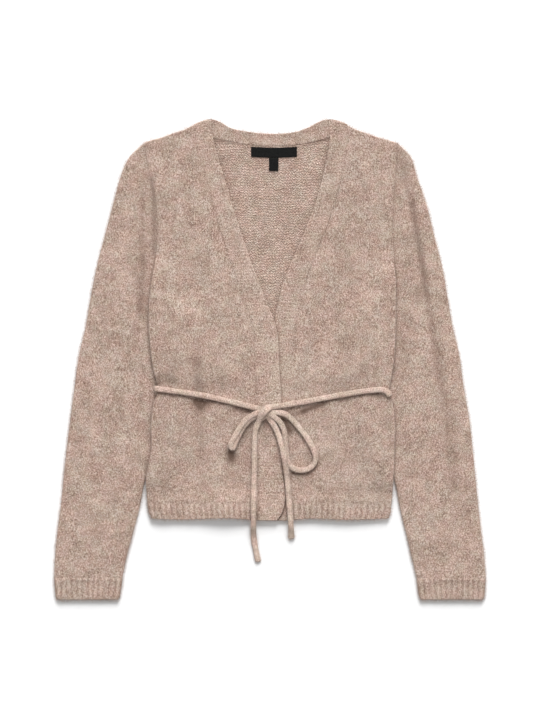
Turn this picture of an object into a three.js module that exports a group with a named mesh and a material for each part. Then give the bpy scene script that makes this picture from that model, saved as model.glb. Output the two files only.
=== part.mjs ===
// Knitted cardigan with a tie at the waist, laid flat on its back with the front side up.
// Millimetres. +Z is up from the table, +Y runs to the collar, the wearer's right side is at -X.
// Every piece of knit is a closed wall of its own, and pieces that meet leave SEAM between them.
import * as THREE from "three";

// Knit and layers
const WALL = 2.6;
const SEAM = 0.3;
const RIB_HEIGHT = 0.8;
const RIB_PITCH = 8.1;
const ROUNDING = 1.5;
const SLEEVE_DEPTH = 2 * WALL + SEAM;
const SIDE_LIFT = SLEEVE_DEPTH + SEAM;
const HEM_SEAM = -200;
const CUFF_SEAM = -305;
const CUFF_END = -336;

// Sides of the body by height: armhole seam from the shoulder to y 100, side seam below it
const bodySides = [
  { y: 304, right: -175, left: 177.5 },
  { y: 283, right: -172.5, left: 177 },
  { y: 261, right: -168.5, left: 175.5 },
  { y: 231, right: -161, left: 173 },
  { y: 191, right: -157, left: 171 },
  { y: 141, right: -160, left: 173.5 },
  { y: 100, right: -167, left: 176 },
  { y: 60, right: -170, left: 176 },
  { y: 20, right: -168, left: 175 },
  { y: -10, right: -164, left: 172.5 },
  { y: -31, right: -159, left: 168.5 },
  { y: -44, right: -156, left: 166 },
  { y: -60, right: -162.5, left: 171 },
  { y: -85, right: -166, left: 174.5 },
  { y: -127, right: -166.5, left: 174 },
  { y: -165, right: -173, left: 172.5 },
  { y: -197, right: -172, left: 170.5 },
  { y: -225, right: -168, left: 168 },
];

// Free edges of the two front bands by height; the right front lies on the left one
const frontEdges = [
  { y: 336, right: -81, left: 82 },
  { y: 311, right: -80, left: 84 },
  { y: 285, right: -73.5, left: 80 },
  { y: 251, right: -63, left: 72.5 },
  { y: 219, right: -54, left: 63.5 },
  { y: 187, right: -44, left: 51.5 },
  { y: 164, right: -36, left: 42 },
  { y: 139, right: -27.5, left: 31 },
  { y: 103, right: -13.5, left: 17 },
  { y: 80, right: -5, left: 11.5 },
  { y: 55, right: 5.5, left: 6 },
  { y: 34, right: 10.5, left: 2 },
  { y: -8, right: 12.8, left: -4 },
  { y: -50, right: 15.4, left: -8 },
  { y: -150, right: 16.5, left: -12 },
  { y: -176, right: 20, left: -13 },
  { y: -188, right: 21.7, left: -14.5 },
  { y: -202, right: 20.3, left: -13.5 },
  { y: -216, right: 16, left: -9.5 },
  { y: -226, right: 9, left: -3 },
];

// Width of the front band from its seam to its free edge
const bandWidths = [
  { y: 336, width: 25.5 },
  { y: 285, width: 26 },
  { y: 139, width: 30 },
  { y: 12, width: 34.5 },
  { y: -50, width: 36.5 },
  { y: -176, width: 37 },
  { y: -188, width: 38.5 },
  { y: -202, width: 37.5 },
  { y: -216, width: 33.5 },
  { y: -226, width: 27 },
];

// Top line of the shoulders, the same on both sides
const shoulderLine = [
  { x: 106.3, y: 328.2 },
  { x: 120, y: 321.5 },
  { x: 137, y: 316 },
  { x: 150, y: 311 },
  { x: 165, y: 307 },
  { x: 178, y: 303 },
];

// Seam of the back neck band and its free edge
const neckLine = [
  { x: -106.3, seam: 328.2, free: 329.6 },
  { x: -94, seam: 320, free: 334 },
  { x: -81, seam: 311, free: 336 },
  { x: -70, seam: 308, free: 332.5 },
  { x: -56, seam: 305, free: 324.5 },
  { x: -28, seam: 300, free: 318.5 },
  { x: 4, seam: 298.6, free: 316 },
  { x: 35, seam: 300, free: 318.5 },
  { x: 56, seam: 303.5, free: 326 },
  { x: 70, seam: 307, free: 333.5 },
  { x: 81, seam: 310.5, free: 336 },
  { x: 94, seam: 320, free: 334 },
  { x: 106.3, seam: 328.2, free: 329.6 },
];

// Bottom line of the hem, a little uneven as laid
const hemLine = [
  { x: -170, y: -220.5 },
  { x: -120, y: -224 },
  { x: -60, y: -222 },
  { x: -15, y: -225 },
  { x: 12, y: -225.4 },
  { x: 60, y: -222.5 },
  { x: 110, y: -224.5 },
  { x: 170, y: -220 },
];

// Sections of a sleeve from the armhole to the cuff seam: outer fold and inner fold
// The inner fold lies under the side of the body from the underarm to y -165
const rightSleeve = [
  { outerX: -175.3, outerY: 303.6, innerX: -167.3, innerY: 100, puff: 0 },
  { outerX: -187, outerY: 294, innerX: -165, innerY: 93, puff: 0.4 },
  { outerX: -199, outerY: 280.5, innerX: -156, innerY: 86, puff: 1.2 },
  { outerX: -209.5, outerY: 256, innerX: -147, innerY: 76, puff: 2 },
  { outerX: -220, outerY: 216, innerX: -137, innerY: 62, puff: 2.8 },
  { outerX: -231, outerY: 174, innerX: -131, innerY: 42, puff: 3.2 },
  { outerX: -242, outerY: 132, innerX: -129, innerY: 18, puff: 3.4 },
  { outerX: -250.5, outerY: 90, innerX: -129, innerY: -10, puff: 3.4 },
  { outerX: -258, outerY: 46, innerX: -131, innerY: -38, puff: 3.4 },
  { outerX: -267.4, outerY: 6, innerX: -136, innerY: -62, puff: 3.4 },
  { outerX: -273.5, outerY: -38, innerX: -143, innerY: -88, puff: 3.4 },
  { outerX: -279.5, outerY: -84, innerX: -153, innerY: -115, puff: 3.4 },
  { outerX: -285, outerY: -128, innerX: -164, innerY: -143, puff: 3.4 },
  { outerX: -289, outerY: -166, innerX: -175, innerY: -170, puff: 3.2 },
  { outerX: -293, outerY: -206, innerX: -182, innerY: -206, puff: 3 },
  { outerX: -298, outerY: -244, innerX: -192, innerY: -244, puff: 2.6 },
  { outerX: -301, outerY: -276, innerX: -200.5, innerY: -276, puff: 2.2 },
  { outerX: -302, outerY: -305, innerX: -206.5, innerY: -305, puff: 1.6 },
];
const leftSleeve = [
  { outerX: 177.8, outerY: 303.6, innerX: 176.3, innerY: 100, puff: 0 },
  { outerX: 189, outerY: 293, innerX: 173, innerY: 93, puff: 0.4 },
  { outerX: 199, outerY: 280.5, innerX: 165, innerY: 86, puff: 1.2 },
  { outerX: 206, outerY: 256, innerX: 156, innerY: 76, puff: 2 },
  { outerX: 219.5, outerY: 216, innerX: 146, innerY: 62, puff: 2.8 },
  { outerX: 229.6, outerY: 174, innerX: 140, innerY: 42, puff: 3.2 },
  { outerX: 240.5, outerY: 132, innerX: 137, innerY: 18, puff: 3.4 },
  { outerX: 248, outerY: 90, innerX: 137, innerY: -10, puff: 3.4 },
  { outerX: 255.5, outerY: 46, innerX: 139, innerY: -38, puff: 3.4 },
  { outerX: 265, outerY: 6, innerX: 143, innerY: -62, puff: 3.4 },
  { outerX: 271, outerY: -38, innerX: 149, innerY: -88, puff: 3.4 },
  { outerX: 279, outerY: -84, innerX: 157, innerY: -115, puff: 3.4 },
  { outerX: 284, outerY: -128, innerX: 167, innerY: -145, puff: 3.4 },
  { outerX: 287.5, outerY: -166, innerX: 175, innerY: -173, puff: 3.2 },
  { outerX: 291.5, outerY: -206, innerX: 181.5, innerY: -206, puff: 3 },
  { outerX: 296, outerY: -244, innerX: 190.5, innerY: -244, puff: 2.6 },
  { outerX: 300, outerY: -276, innerX: 198, innerY: -276, puff: 2.2 },
  { outerX: 302, outerY: -305, innerX: 205, innerY: -305, puff: 1.6 },
];

// Air under the fronts by height: full over chest and hip, pressed down by the tie
const frontPuff = [
  { y: 330, puff: 0 },
  { y: 280, puff: 0.5 },
  { y: 230, puff: 1.6 },
  { y: 150, puff: 2.4 },
  { y: 60, puff: 2.6 },
  { y: 0, puff: 3.2 },
  { y: -25, puff: 3 },
  { y: -46, puff: 0.8 },
  { y: -65, puff: 2.4 },
  { y: -120, puff: 2.8 },
  { y: -180, puff: 1.8 },
  { y: -202, puff: 1.2 },
  { y: -226, puff: 1.6 },
];

// Heights of the rows of the body panels, read along the side edge
const bodyLevels = [
  -182, -165, -145, -120, -95, -75, -60, -44, -30, -12, 10, 35, 60, 85, 101, 115, 140, 165, 195, 225,
  255, 280,
];
const SHOULDER_TIP = 303.6;

// Routes of the tie over the front. over is the height of a strand above the cloth it would rest on
const tieRight = [
  { x: -158.2, y: -40.9, over: -0.3 },
  { x: -148, y: -41.8, over: 0 },
  { x: -102, y: -48.3, over: 0.4 },
  { x: -57, y: -58, over: 0 },
  { x: -19.2, y: -67.6, over: 0 },
];
const tieLeft = [
  { x: 167.5, y: -51.5, over: 0 },
  { x: 164.5, y: -45.5, over: 0.2 },
  { x: 157, y: -41.6, over: 0.2 },
  { x: 141, y: -41.4, over: 0 },
  { x: 108, y: -45.5, over: 0.3 },
  { x: 73.5, y: -51.8, over: 0 },
  { x: 35, y: -59, over: 0 },
  { x: 3.6, y: -65.4, over: 0.5 },
];
const loopRight = [
  { x: -20.2, y: -77.6, over: 0 },
  { x: -30, y: -79.6, over: 0 },
  { x: -40, y: -86, over: 0 },
  { x: -48.5, y: -98.5, over: 0 },
  { x: -55.5, y: -113, over: 0.4 },
  { x: -58.6, y: -120.4, over: 4.8 },
  { x: -55, y: -112, over: 9.2 },
  { x: -47, y: -96, over: 9.2 },
  { x: -38, y: -81.5, over: 9.2 },
  { x: -28, y: -73.8, over: 9 },
  { x: -20, y: -72.6, over: 8.6 },
];
const loopLeft = [
  { x: 4.6, y: -74.3, over: 0.2 },
  { x: 14, y: -73.6, over: 0 },
  { x: 24, y: -75.8, over: 0 },
  { x: 41.5, y: -92, over: 0 },
  { x: 53.2, y: -111.3, over: 0 },
  { x: 62, y: -129.5, over: 0 },
  { x: 63, y: -142, over: 0 },
  { x: 54, y: -154.5, over: 0 },
  { x: 40, y: -157.5, over: 0 },
  { x: 28.4, y: -150.5, over: 0 },
  { x: 24.4, y: -141, over: 0 },
  { x: 22, y: -126, over: 0 },
  { x: 20.8, y: -108, over: 0 },
  { x: 18.6, y: -96, over: 2 },
  { x: 13, y: -86.5, over: 6.5 },
  { x: 6, y: -80.2, over: 8.6 },
];
const tieEndRight = [
  { x: -14.4, y: -85, over: 0 },
  { x: -19.5, y: -96, over: 0 },
  { x: -21.6, y: -118, over: 0 },
  { x: -21.7, y: -143.5, over: 0 },
  { x: -22.8, y: -191, over: 0 },
  { x: -23.1, y: -222, over: 0.2 },
  { x: -22.6, y: -250, over: 0.2 },
  { x: -16.2, y: -283.5, over: 0 },
];
const tieEndLeft = [
  { x: -0.2, y: -83.8, over: 0 },
  { x: 5.6, y: -92, over: 0 },
  { x: 11.6, y: -105, over: 3 },
  { x: 15.4, y: -118, over: 8.4 },
  { x: 18.8, y: -132, over: 9.2 },
  { x: 21.6, y: -147, over: 9.2 },
  { x: 23.4, y: -161, over: 6 },
  { x: 25.2, y: -180, over: 0.4 },
  { x: 28, y: -215, over: 0.2 },
  { x: 29.6, y: -238, over: 0.2 },
  { x: 30, y: -251.3, over: 0 },
];
const TIE_DIAMETER = 8;
const KNOT = { x: -7.6, y: -72, width: 19.5, length: 15.5, height: 15.5 };

const clamp01 = (value) => Math.min(1, Math.max(0, value));
const mix = (a, b, t) => a + (b - a) * t;
const ease = (value) => {
  const t = clamp01(value);
  return t * t * (3 - 2 * t);
};

// Smooth curve through one column of a table
function through(table, key, column) {
  const rows = [...table].sort((a, b) => a[key] - b[key]);
  const last = rows.length - 1;
  const secant = (i) =>
    (rows[i + 1][column] - rows[i][column]) / (rows[i + 1][key] - rows[i][key]);
  const slopes = rows.map((row, i) => {
    if (i === 0) return secant(0);
    if (i === last) return secant(last - 1);
    return (secant(i - 1) + secant(i)) / 2;
  });
  return (at) => {
    if (at <= rows[0][key]) return rows[0][column];
    if (at >= rows[last][key]) return rows[last][column];
    let i = 0;
    while (rows[i + 1][key] < at) i += 1;
    const span = rows[i + 1][key] - rows[i][key];
    const t = (at - rows[i][key]) / span;
    const turn = span * t * (1 - t) * ((1 - t) * slopes[i] - t * slopes[i + 1]);
    return mix(rows[i][column], rows[i + 1][column], t * t * (3 - 2 * t)) + turn;
  };
}

const sideRight = through(bodySides, "y", "right");
const sideLeft = through(bodySides, "y", "left");
const edgeRight = through(frontEdges, "y", "right");
const edgeLeft = through(frontEdges, "y", "left");
const bandWidth = through(bandWidths, "y", "width");
const shoulderAt = through(shoulderLine, "x", "y");
const neckSeam = through(neckLine, "x", "seam");
const neckFree = through(neckLine, "x", "free");
const hemBottom = through(hemLine, "x", "y");
const puffAt = through(frontPuff, "y", "puff");
const bandSeamRight = (y) => edgeRight(y) - bandWidth(y);
const bandSeamLeft = (y) => edgeLeft(y) + bandWidth(y);

// Lift of the side of the body where a sleeve lies under it
function innerFold(sleeve) {
  const hidden = sleeve.slice(0, 15).map((row) => ({ y: row.innerY, x: Math.abs(row.innerX) }));
  return through(hidden, "y", "x");
}
const innerRight = innerFold(rightSleeve);
const innerLeft = innerFold(leftSleeve);
function lift(x, y) {
  const inner = x < 0 ? innerRight(y) : innerLeft(y);
  const along = Math.min(ease((140 - y) / 25), ease((y + 198) / 33));
  return SIDE_LIFT * along * ease((Math.abs(x) - (inner - 37)) / 20);
}

// Underside of a front where it lies straight on the back
function frontBase(x, y) {
  const side = x < 0 ? sideRight(y) : sideLeft(y);
  const seam = x < 0 ? bandSeamRight(y) : bandSeamLeft(y);
  const across = clamp01((x - side) / (seam - side));
  const hemRise = RIB_HEIGHT * ease((-184 - y) / 14);
  return lift(x, y) + WALL + SEAM + hemRise + puffAt(y) * Math.sin(Math.PI * across);
}

// Underside of the right front, which climbs over the edge of the left front
function rightBase(x, y) {
  return frontBase(x, y) + (WALL + SEAM) * ease((x - edgeLeft(y) + 21) / 14);
}

// Lines of a grid: distances in from the start, parts of the way, distances in from the end
function lines(fromStart, parts, fromEnd) {
  return [
    ...fromStart.map((shift) => ({ part: 0, shift })),
    ...parts.map((part) => ({ part, shift: 0 })),
    ...fromEnd.map((shift) => ({ part: 1, shift: -shift })),
  ];
}
const evenParts = (count) => Array.from({ length: count }, (value, i) => (i + 1) / (count + 1));

// One closed piece from its points and faces, with the faces turned outwards
function piece(name, points, faces, colour) {
  const corner = points.map((point) => new THREE.Vector3(...point));
  let volume = 0;
  for (let i = 0; i < faces.length; i += 3) {
    const [a, b, c] = [corner[faces[i]], corner[faces[i + 1]], corner[faces[i + 2]]];
    volume += a.dot(new THREE.Vector3().crossVectors(b, c));
  }
  const geometry = new THREE.BufferGeometry();
  geometry.setAttribute("position", new THREE.Float32BufferAttribute(points.flat(), 3));
  geometry.setIndex(volume < 0 ? [...faces].reverse() : faces);
  geometry.computeVertexNormals();
  return named(name, geometry, colour);
}
function named(name, geometry, colour) {
  const material = new THREE.MeshStandardMaterial({ color: colour, roughness: 0.95 });
  const mesh = new THREE.Mesh(geometry, material);
  mesh.name = name;
  return mesh;
}

// A sheet of knit on a grid: spot gives the plan point of a column and row, layer its two heights
// soft is how far each edge is rounded off, as [underside, upper side]
function sheet(name, columns, rows, spot, layer, soft, colour) {
  const width = columns.length;
  const lastColumn = width - 1;
  const lastRow = rows.length - 1;
  const points = [];
  for (const side of [0, 1]) {
    rows.forEach((row, r) => {
      columns.forEach((column, c) => {
        const [x, y] = spot(column, row);
        const edges = [];
        if (c === 0) edges.push(soft.start[side]);
        if (c === lastColumn) edges.push(soft.end[side]);
        if (r === 0) edges.push(soft.bottom[side]);
        if (r === lastRow) edges.push(soft.top[side]);
        const trim = Math.max(0, ...edges);
        const z = layer(x, y, c, r)[side];
        points.push([x, y, side ? z - trim : z + trim]);
      });
    });
  }
  const at = (c, r, side) => side * width * rows.length + r * width + c;
  const faces = [];
  const quad = (a, b, c, d) => faces.push(a, b, c, a, c, d);
  for (let r = 0; r < lastRow; r += 1) {
    for (let c = 0; c < lastColumn; c += 1) {
      quad(at(c, r, 1), at(c + 1, r, 1), at(c + 1, r + 1, 1), at(c, r + 1, 1));
      quad(at(c, r, 0), at(c, r + 1, 0), at(c + 1, r + 1, 0), at(c + 1, r, 0));
    }
    quad(at(0, r, 0), at(0, r, 1), at(0, r + 1, 1), at(0, r + 1, 0));
    quad(at(lastColumn, r + 1, 0), at(lastColumn, r + 1, 1), at(lastColumn, r, 1), at(lastColumn, r, 0));
  }
  for (let c = 0; c < lastColumn; c += 1) {
    quad(at(c, 0, 1), at(c, 0, 0), at(c + 1, 0, 0), at(c + 1, 0, 1));
    quad(at(c, lastRow, 0), at(c, lastRow, 1), at(c + 1, lastRow, 1), at(c + 1, lastRow, 0));
  }
  return piece(name, points, faces, colour);
}

// A flattened tube of knit, open at both ends. around lists the points of a section
function flatTube(name, sections, around, spot, outside, inside, colour) {
  const points = [];
  for (const surface of [outside, inside]) {
    sections.forEach((section, i) => {
      around.forEach((place, k) => {
        const inset = surface === inside ? place.inset : 0;
        const [x, y] = spot(section, place, inset);
        points.push([x, y, surface(x, y, section, place, k, i)]);
      });
    });
  }
  const count = around.length;
  const last = sections.length - 1;
  const at = (k, i, inner) => inner * count * sections.length + i * count + (k % count);
  const faces = [];
  const quad = (a, b, c, d) => faces.push(a, b, c, a, c, d);
  for (let k = 0; k < count; k += 1) {
    for (let i = 0; i < last; i += 1) {
      quad(at(k, i, 0), at(k + 1, i, 0), at(k + 1, i + 1, 0), at(k, i + 1, 0));
      quad(at(k, i + 1, 1), at(k + 1, i + 1, 1), at(k + 1, i, 1), at(k, i, 1));
    }
    quad(at(k, 0, 1), at(k + 1, 0, 1), at(k + 1, 0, 0), at(k, 0, 0));
    quad(at(k, last, 0), at(k + 1, last, 0), at(k + 1, last, 1), at(k, last, 1));
  }
  return piece(name, points, faces, colour);
}

const KNIT = "#b9a092";
const RIBBING = "#b49b8c";
const TIE = "#c4ab9b";
const LABEL = "#262626";

// Body panels: back, and the two fronts on it
const bodyTop = SHOULDER_TIP;
const bodyBottom = HEM_SEAM + SEAM / 2;
const bodyRows = lines(
  [0, ROUNDING],
  bodyLevels.map((y) => (y - bodyBottom) / (bodyTop - bodyBottom)),
  [ROUNDING, 0],
);
const sideSteps = [0, ROUNDING, 11, 21, 31, 43, 57];
const squeeze = (y) => Math.min(1, (bandSeamRight(y) - sideRight(y)) / 122);
const shoulderSeam = 328.2;

// Plan points of a body panel between two edges that end at startTop and endTop
function bodySpot(startEdge, endEdge, startTop, endTop, topLine) {
  return (column, row) => {
    const levelOf = (top, part, shift) => mix(bodyBottom, top, part) + shift;
    const across = (part, shift) => {
      const start = startEdge(levelOf(startTop, part, shift));
      const end = endEdge(levelOf(endTop, part, shift));
      return mix(start, end, column.part) + column.shift * squeeze(levelOf(bodyTop, part, shift));
    };
    return [across(row.part, row.shift), levelOf(topLine(across(1, 0)), row.part, row.shift)];
  };
}
const backTop = (x) => (Math.abs(x) > 106.3 ? shoulderAt(Math.abs(x)) : neckSeam(x));
const frontTop = (x) => shoulderAt(Math.abs(x));
const innerSteps = [...sideSteps].reverse();

const backParts = [0.1955, 0.233, 0.268, 0.36, 0.5, 0.64, 0.73, 0.765, 0.7965];
const backSpot = bodySpot(sideRight, sideLeft, bodyTop, bodyTop, backTop);
const back = sheet(
  "back",
  lines(sideSteps, backParts, innerSteps),
  bodyRows,
  backSpot,
  (x, y) => [lift(x, y), lift(x, y) + WALL],
  { start: [1, 0], end: [1, 0], bottom: [0, 0], top: [0.6, 0] },
  KNIT,
);
const frontRight = sheet(
  "front_right",
  lines(sideSteps, [0.53, 0.68, 0.84], [ROUNDING, 0]),
  bodyRows,
  bodySpot(sideRight, bandSeamRight, bodyTop, shoulderSeam, frontTop),
  (x, y) => [rightBase(x, y), rightBase(x, y) + WALL],
  { start: [0, 1.2], end: [0, 0.3], bottom: [0, 0], top: [0, 0.8] },
  KNIT,
);
const frontLeft = sheet(
  "front_left",
  lines([0, ROUNDING], [0.16, 0.32, 0.47], innerSteps),
  bodyRows,
  bodySpot(bandSeamLeft, sideLeft, shoulderSeam, bodyTop, frontTop),
  (x, y) => [frontBase(x, y), frontBase(x, y) + WALL],
  { start: [0, 0.3], end: [0, 1.2], bottom: [0, 0], top: [0, 0.8] },
  KNIT,
);

// Front bands from the hem to the shoulder seam, and the band along the back neck
const bandBottom = -225.2;
const bandSeamTop = 328.6;
const seamLevels = bodyRows.map((row) => mix(bodyBottom, shoulderSeam, row.part) + row.shift);
const bandLevels = [-219, -212, -206, -195, -188, ...seamLevels.slice(2, -1)].sort((a, b) => a - b);
const bandRows = lines(
  [0, ROUNDING],
  [bodyBottom, ...bandLevels].sort((a, b) => a - b).map((y) => (y - bandBottom) / (bandSeamTop - bandBottom)),
  [0],
);
const bandColumns = lines([0, ROUNDING], [0.35, 0.65], [ROUNDING, 0]);
function bandSpot(startEdge, endEdge, freeAtEnd) {
  return (column, row) => {
    const toFree = freeAtEnd ? column.part : 1 - column.part;
    const y = mix(bandBottom, mix(bandSeamTop, 336, toFree), row.part) + row.shift;
    return [mix(startEdge(y), endEdge(y), column.part) + column.shift, y];
  };
}
const bandFrontRight = sheet(
  "band_front_right",
  bandColumns,
  bandRows,
  bandSpot((y) => bandSeamRight(y) + SEAM, edgeRight, true),
  (x, y) => [rightBase(x, y), rightBase(x, y) + WALL],
  { start: [0, 0.3], end: [0.7, 0.9], bottom: [0.7, 0.9], top: [0, 0.8] },
  RIBBING,
);
const bandFrontLeft = sheet(
  "band_front_left",
  bandColumns,
  bandRows,
  bandSpot(edgeLeft, (y) => bandSeamLeft(y) - SEAM, false),
  (x, y) => [frontBase(x, y), frontBase(x, y) + WALL],
  { start: [0.7, 0.9], end: [0, 0.3], bottom: [0.7, 0.9], top: [0, 0.8] },
  RIBBING,
);
const backTopPoints = [0.1955, ...backParts.slice(1)].map((part) => backSpot({ part, shift: 0 }, { part: 1, shift: 0 }));
function backTopLine(x) {
  let i = 0;
  while (i < backTopPoints.length - 2 && backTopPoints[i + 1][0] < x) i += 1;
  const [a, b] = [backTopPoints[i], backTopPoints[i + 1]];
  return mix(a[1], b[1], (x - a[0]) / (b[0] - a[0]));
}
const neckPlaces = [-103.5, -99, -94, -88, -81, -75, -68, -58, -44, -28, -12, 4];
const bandBackNeck = sheet(
  "band_back_neck",
  [...neckPlaces, ...neckPlaces.slice(0, -1).reverse().map((x) => -x)],
  lines([0, 1.2], [0.5], [1.2, 0]),
  (x, row) => {
    const low = backTopLine(x) + SEAM;
    const high = neckFree(x);
    return [x, mix(low, high, row.part) + row.shift * Math.min(1, (high - low) / 8)];
  },
  () => [0, WALL],
  { start: [0.5, 0], end: [0.5, 0], bottom: [0.3, 0.3], top: [0.9, 0.9] },
  RIBBING,
);

// Hem ribbing: ribs stand out from the outer side over a plain inner side
const crest = (index) => index % 2;
function hem(name, startEdge, endEdge, layer, soft) {
  const ribs = Math.round((endEdge(-212) - startEdge(-212)) / RIB_PITCH);
  return sheet(
    name,
    lines([0], evenParts(2 * ribs - 1), [0]),
    lines([0, 3], [], [0]),
    (column, row) => {
      const top = HEM_SEAM - SEAM / 2;
      const corner = row.part === 0 && row.shift === 0 ? 2.5 : 0;
      const level = row.part ? top : -223 + row.shift;
      const start = startEdge(level) + (startEdge === sideRight ? corner : 0);
      const end = endEdge(level) - (endEdge === sideLeft ? corner : 0);
      const x = mix(start, end, column.part);
      return [x, row.part ? top : hemBottom(x) + row.shift];
    },
    layer,
    soft,
    RIBBING,
  );
}
const ribFade = [0.4, 1, 0.6];
const frontHem = (base) => (x, y, c, r) => [
  base(x, y),
  base(x, y) + WALL + RIB_HEIGHT * crest(c) * ribFade[r],
];
const hemBack = hem(
  "hem_back",
  sideRight,
  sideLeft,
  (x, y, c, r) => [RIB_HEIGHT * (1 - crest(c) * ribFade[r]), RIB_HEIGHT + WALL],
  { start: [0.6, 0], end: [0.6, 0], bottom: [0.5, 0.6], top: [0, 0] },
);
const hemFrontRight = hem("hem_front_right", sideRight, bandSeamRight, frontHem(rightBase), {
  start: [0, 0.8],
  end: [0, 0],
  bottom: [0.6, 0.5],
  top: [0, 0],
});
const hemFrontLeft = hem("hem_front_left", bandSeamLeft, sideLeft, frontHem(frontBase), {
  start: [0, 0],
  end: [0, 0.8],
  bottom: [0.6, 0.5],
  top: [0, 0],
});

// Sleeves: the opening follows the armhole seam of the body
const ARMHOLE_GAP = 1;
const foldRound = [
  { from: 1, rise: 0.85, inset: 2.3 },
  { from: 3.2, rise: 1, inset: 1.4 },
];
function sleeveRound() {
  const outerRise = foldRound.map((p) => ({ part: 0, shift: p.from, rise: p.rise, inset: p.inset }));
  const innerRise = [...foldRound]
    .reverse()
    .map((p) => ({ part: 1, shift: -p.from, rise: p.rise, inset: -p.inset }));
  const flat = (parts, rise) => parts.map((part) => ({ part, shift: 0, rise, inset: 0 }));
  const lower = (place) => ({ ...place, rise: 1 - place.rise });
  return [
    { part: 0, shift: 0, rise: 0.5, inset: WALL },
    ...outerRise,
    ...flat([0.15, 0.3, 0.45, 0.6, 0.75, 0.88], 1),
    ...innerRise,
    { part: 1, shift: 0, rise: 0.5, inset: -WALL },
    ...[...innerRise].reverse().map(lower),
    ...flat([0.75, 0.5, 0.25], 0),
    ...[...outerRise].reverse().map(lower),
  ];
}
function sleeve(name, table, bodySide) {
  const facing = Math.sign(table[0].outerX);
  const first = table[0];
  const armhole = (part) => {
    const y = mix(first.outerY, first.innerY, part);
    return bodySide(y) + facing * ARMHOLE_GAP - mix(first.outerX, first.innerX, part);
  };
  const sections = table.map((row, i) => {
    const length = Math.hypot(row.outerX - row.innerX, row.outerY - row.innerY);
    return { ...row, length, follow: Math.max(0, 1 - i / 5) ** 1.5 };
  });
  const spot = (section, place, inset) => {
    const part = clamp01(place.part + (place.shift + inset) / section.length);
    const x = mix(section.outerX, section.innerX, part) + armhole(part) * section.follow;
    const y = mix(section.outerY, section.innerY, part);
    const clear = y > 100 ? Math.abs(bodySide(y)) + ARMHOLE_GAP : 0;
    return [facing * Math.max(Math.abs(x), clear), y];
  };
  const depth = (x, y, section, place) => {
    const part = clamp01(place.part + place.shift / section.length);
    const clear = ease((Math.abs(x) - Math.abs(bodySide(y)) - 8) / 22);
    return SLEEVE_DEPTH + section.puff * clear * Math.sin(Math.PI * part) ** 0.7;
  };
  return flatTube(
    name,
    sections,
    sleeveRound(),
    spot,
    (x, y, section, place) => {
      if (place.rise < 0.5) return place.rise * SLEEVE_DEPTH;
      return place.rise * depth(x, y, section, place);
    },
    (x, y, section, place) => {
      if (place.rise === 0.5) return SLEEVE_DEPTH / 2;
      return place.rise < 0.5 ? WALL : depth(x, y, section, place) - WALL;
    },
    KNIT,
  );
}
const sleeveRight = sleeve("sleeve_right", rightSleeve, sideRight);
const sleeveLeft = sleeve("sleeve_left", leftSleeve, sideLeft);

// Cuffs: ribs all round the outer side
const cuffLevels = [
  { y: CUFF_SEAM - SEAM, narrow: 0, fade: 0.5 },
  { y: CUFF_SEAM - 4, narrow: 0.6, fade: 1 },
  { y: CUFF_END + 3, narrow: 3.2, fade: 1 },
  { y: CUFF_END, narrow: 6.4, fade: 0.3 },
];
function cuff(name, table) {
  const seam = table[table.length - 1];
  const facing = Math.sign(seam.outerX);
  const width = Math.abs(seam.outerX - seam.innerX);
  const ribs = Math.round(width / RIB_PITCH);
  const inner = evenParts(2 * ribs - 1);
  const upper = inner.map((part, i) => ({ part, shift: 0, inset: 0, top: true, crest: crest(i) }));
  const lower = [...inner].reverse().map((part, i) => ({ part, shift: 0, inset: 0, crest: crest(i) }));
  const around = [
    { part: 0, shift: 0, inset: WALL, fold: true },
    ...upper,
    { part: 1, shift: 0, inset: -WALL, fold: true },
    ...lower,
  ];
  const middle = RIB_HEIGHT + SLEEVE_DEPTH / 2;
  const spot = (section, place, inset) => {
    const outer = seam.outerX - facing * section.narrow * 0.35;
    const innerX = seam.innerX + facing * section.narrow * 0.65;
    const part = place.part + inset / width;
    return [mix(outer, innerX, part), section.y];
  };
  return flatTube(
    name,
    cuffLevels,
    around,
    spot,
    (x, y, section, place) => {
      if (place.fold) return middle;
      const rib = RIB_HEIGHT * place.crest * section.fade;
      return place.top ? RIB_HEIGHT + SLEEVE_DEPTH + rib : RIB_HEIGHT - rib;
    },
    (x, y, section, place) => {
      if (place.fold) return middle;
      return place.top ? middle + SEAM / 2 : middle - SEAM / 2;
    },
    RIBBING,
  );
}
const cuffRight = cuff("cuff_right", rightSleeve);
const cuffLeft = cuff("cuff_left", leftSleeve);

// Bare woven label under the neck seam, and the small loop under it
const labelTop = (x) => 297.6 - 1.2 * Math.cos((Math.PI * (x - 5.6)) / 64);
const labelMain = sheet(
  "label_main",
  [-26.5, -25.5, -15, -5, 5.6, 16.2, 26.8, 36.7, 37.7],
  lines([0, 1], [], [1, 0]),
  (x, row) => [x, labelTop(x) - 14 * (1 - row.part) + row.shift],
  () => [WALL + SEAM, WALL + SEAM + 0.8],
  { start: [0, 0.2], end: [0, 0.2], bottom: [0, 0.2], top: [0, 0.2] },
  LABEL,
);
const labelSize = sheet(
  "label_size",
  [-1.3, -0.5, 5.2, 11, 11.8],
  lines([0, 1], [], [1, 0]),
  (x, row) => [x, mix(263.8, 282.1, row.part) + row.shift],
  () => [WALL + SEAM, WALL + SEAM + 1.5],
  { start: [0, 0.2], end: [0, 0.2], bottom: [0.4, 0.5], top: [0, 0.2] },
  LABEL,
);

// Upper side of the cloth under the tie
function clothTop(x, y) {
  if (y < -240) return 0;
  const base = x < edgeRight(y) ? rightBase(x, y) : frontBase(x, y);
  const cloth = base + WALL + RIB_HEIGHT * ease((-190 - y) / 8);
  return cloth * ease((y + 240) / 12);
}

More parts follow.
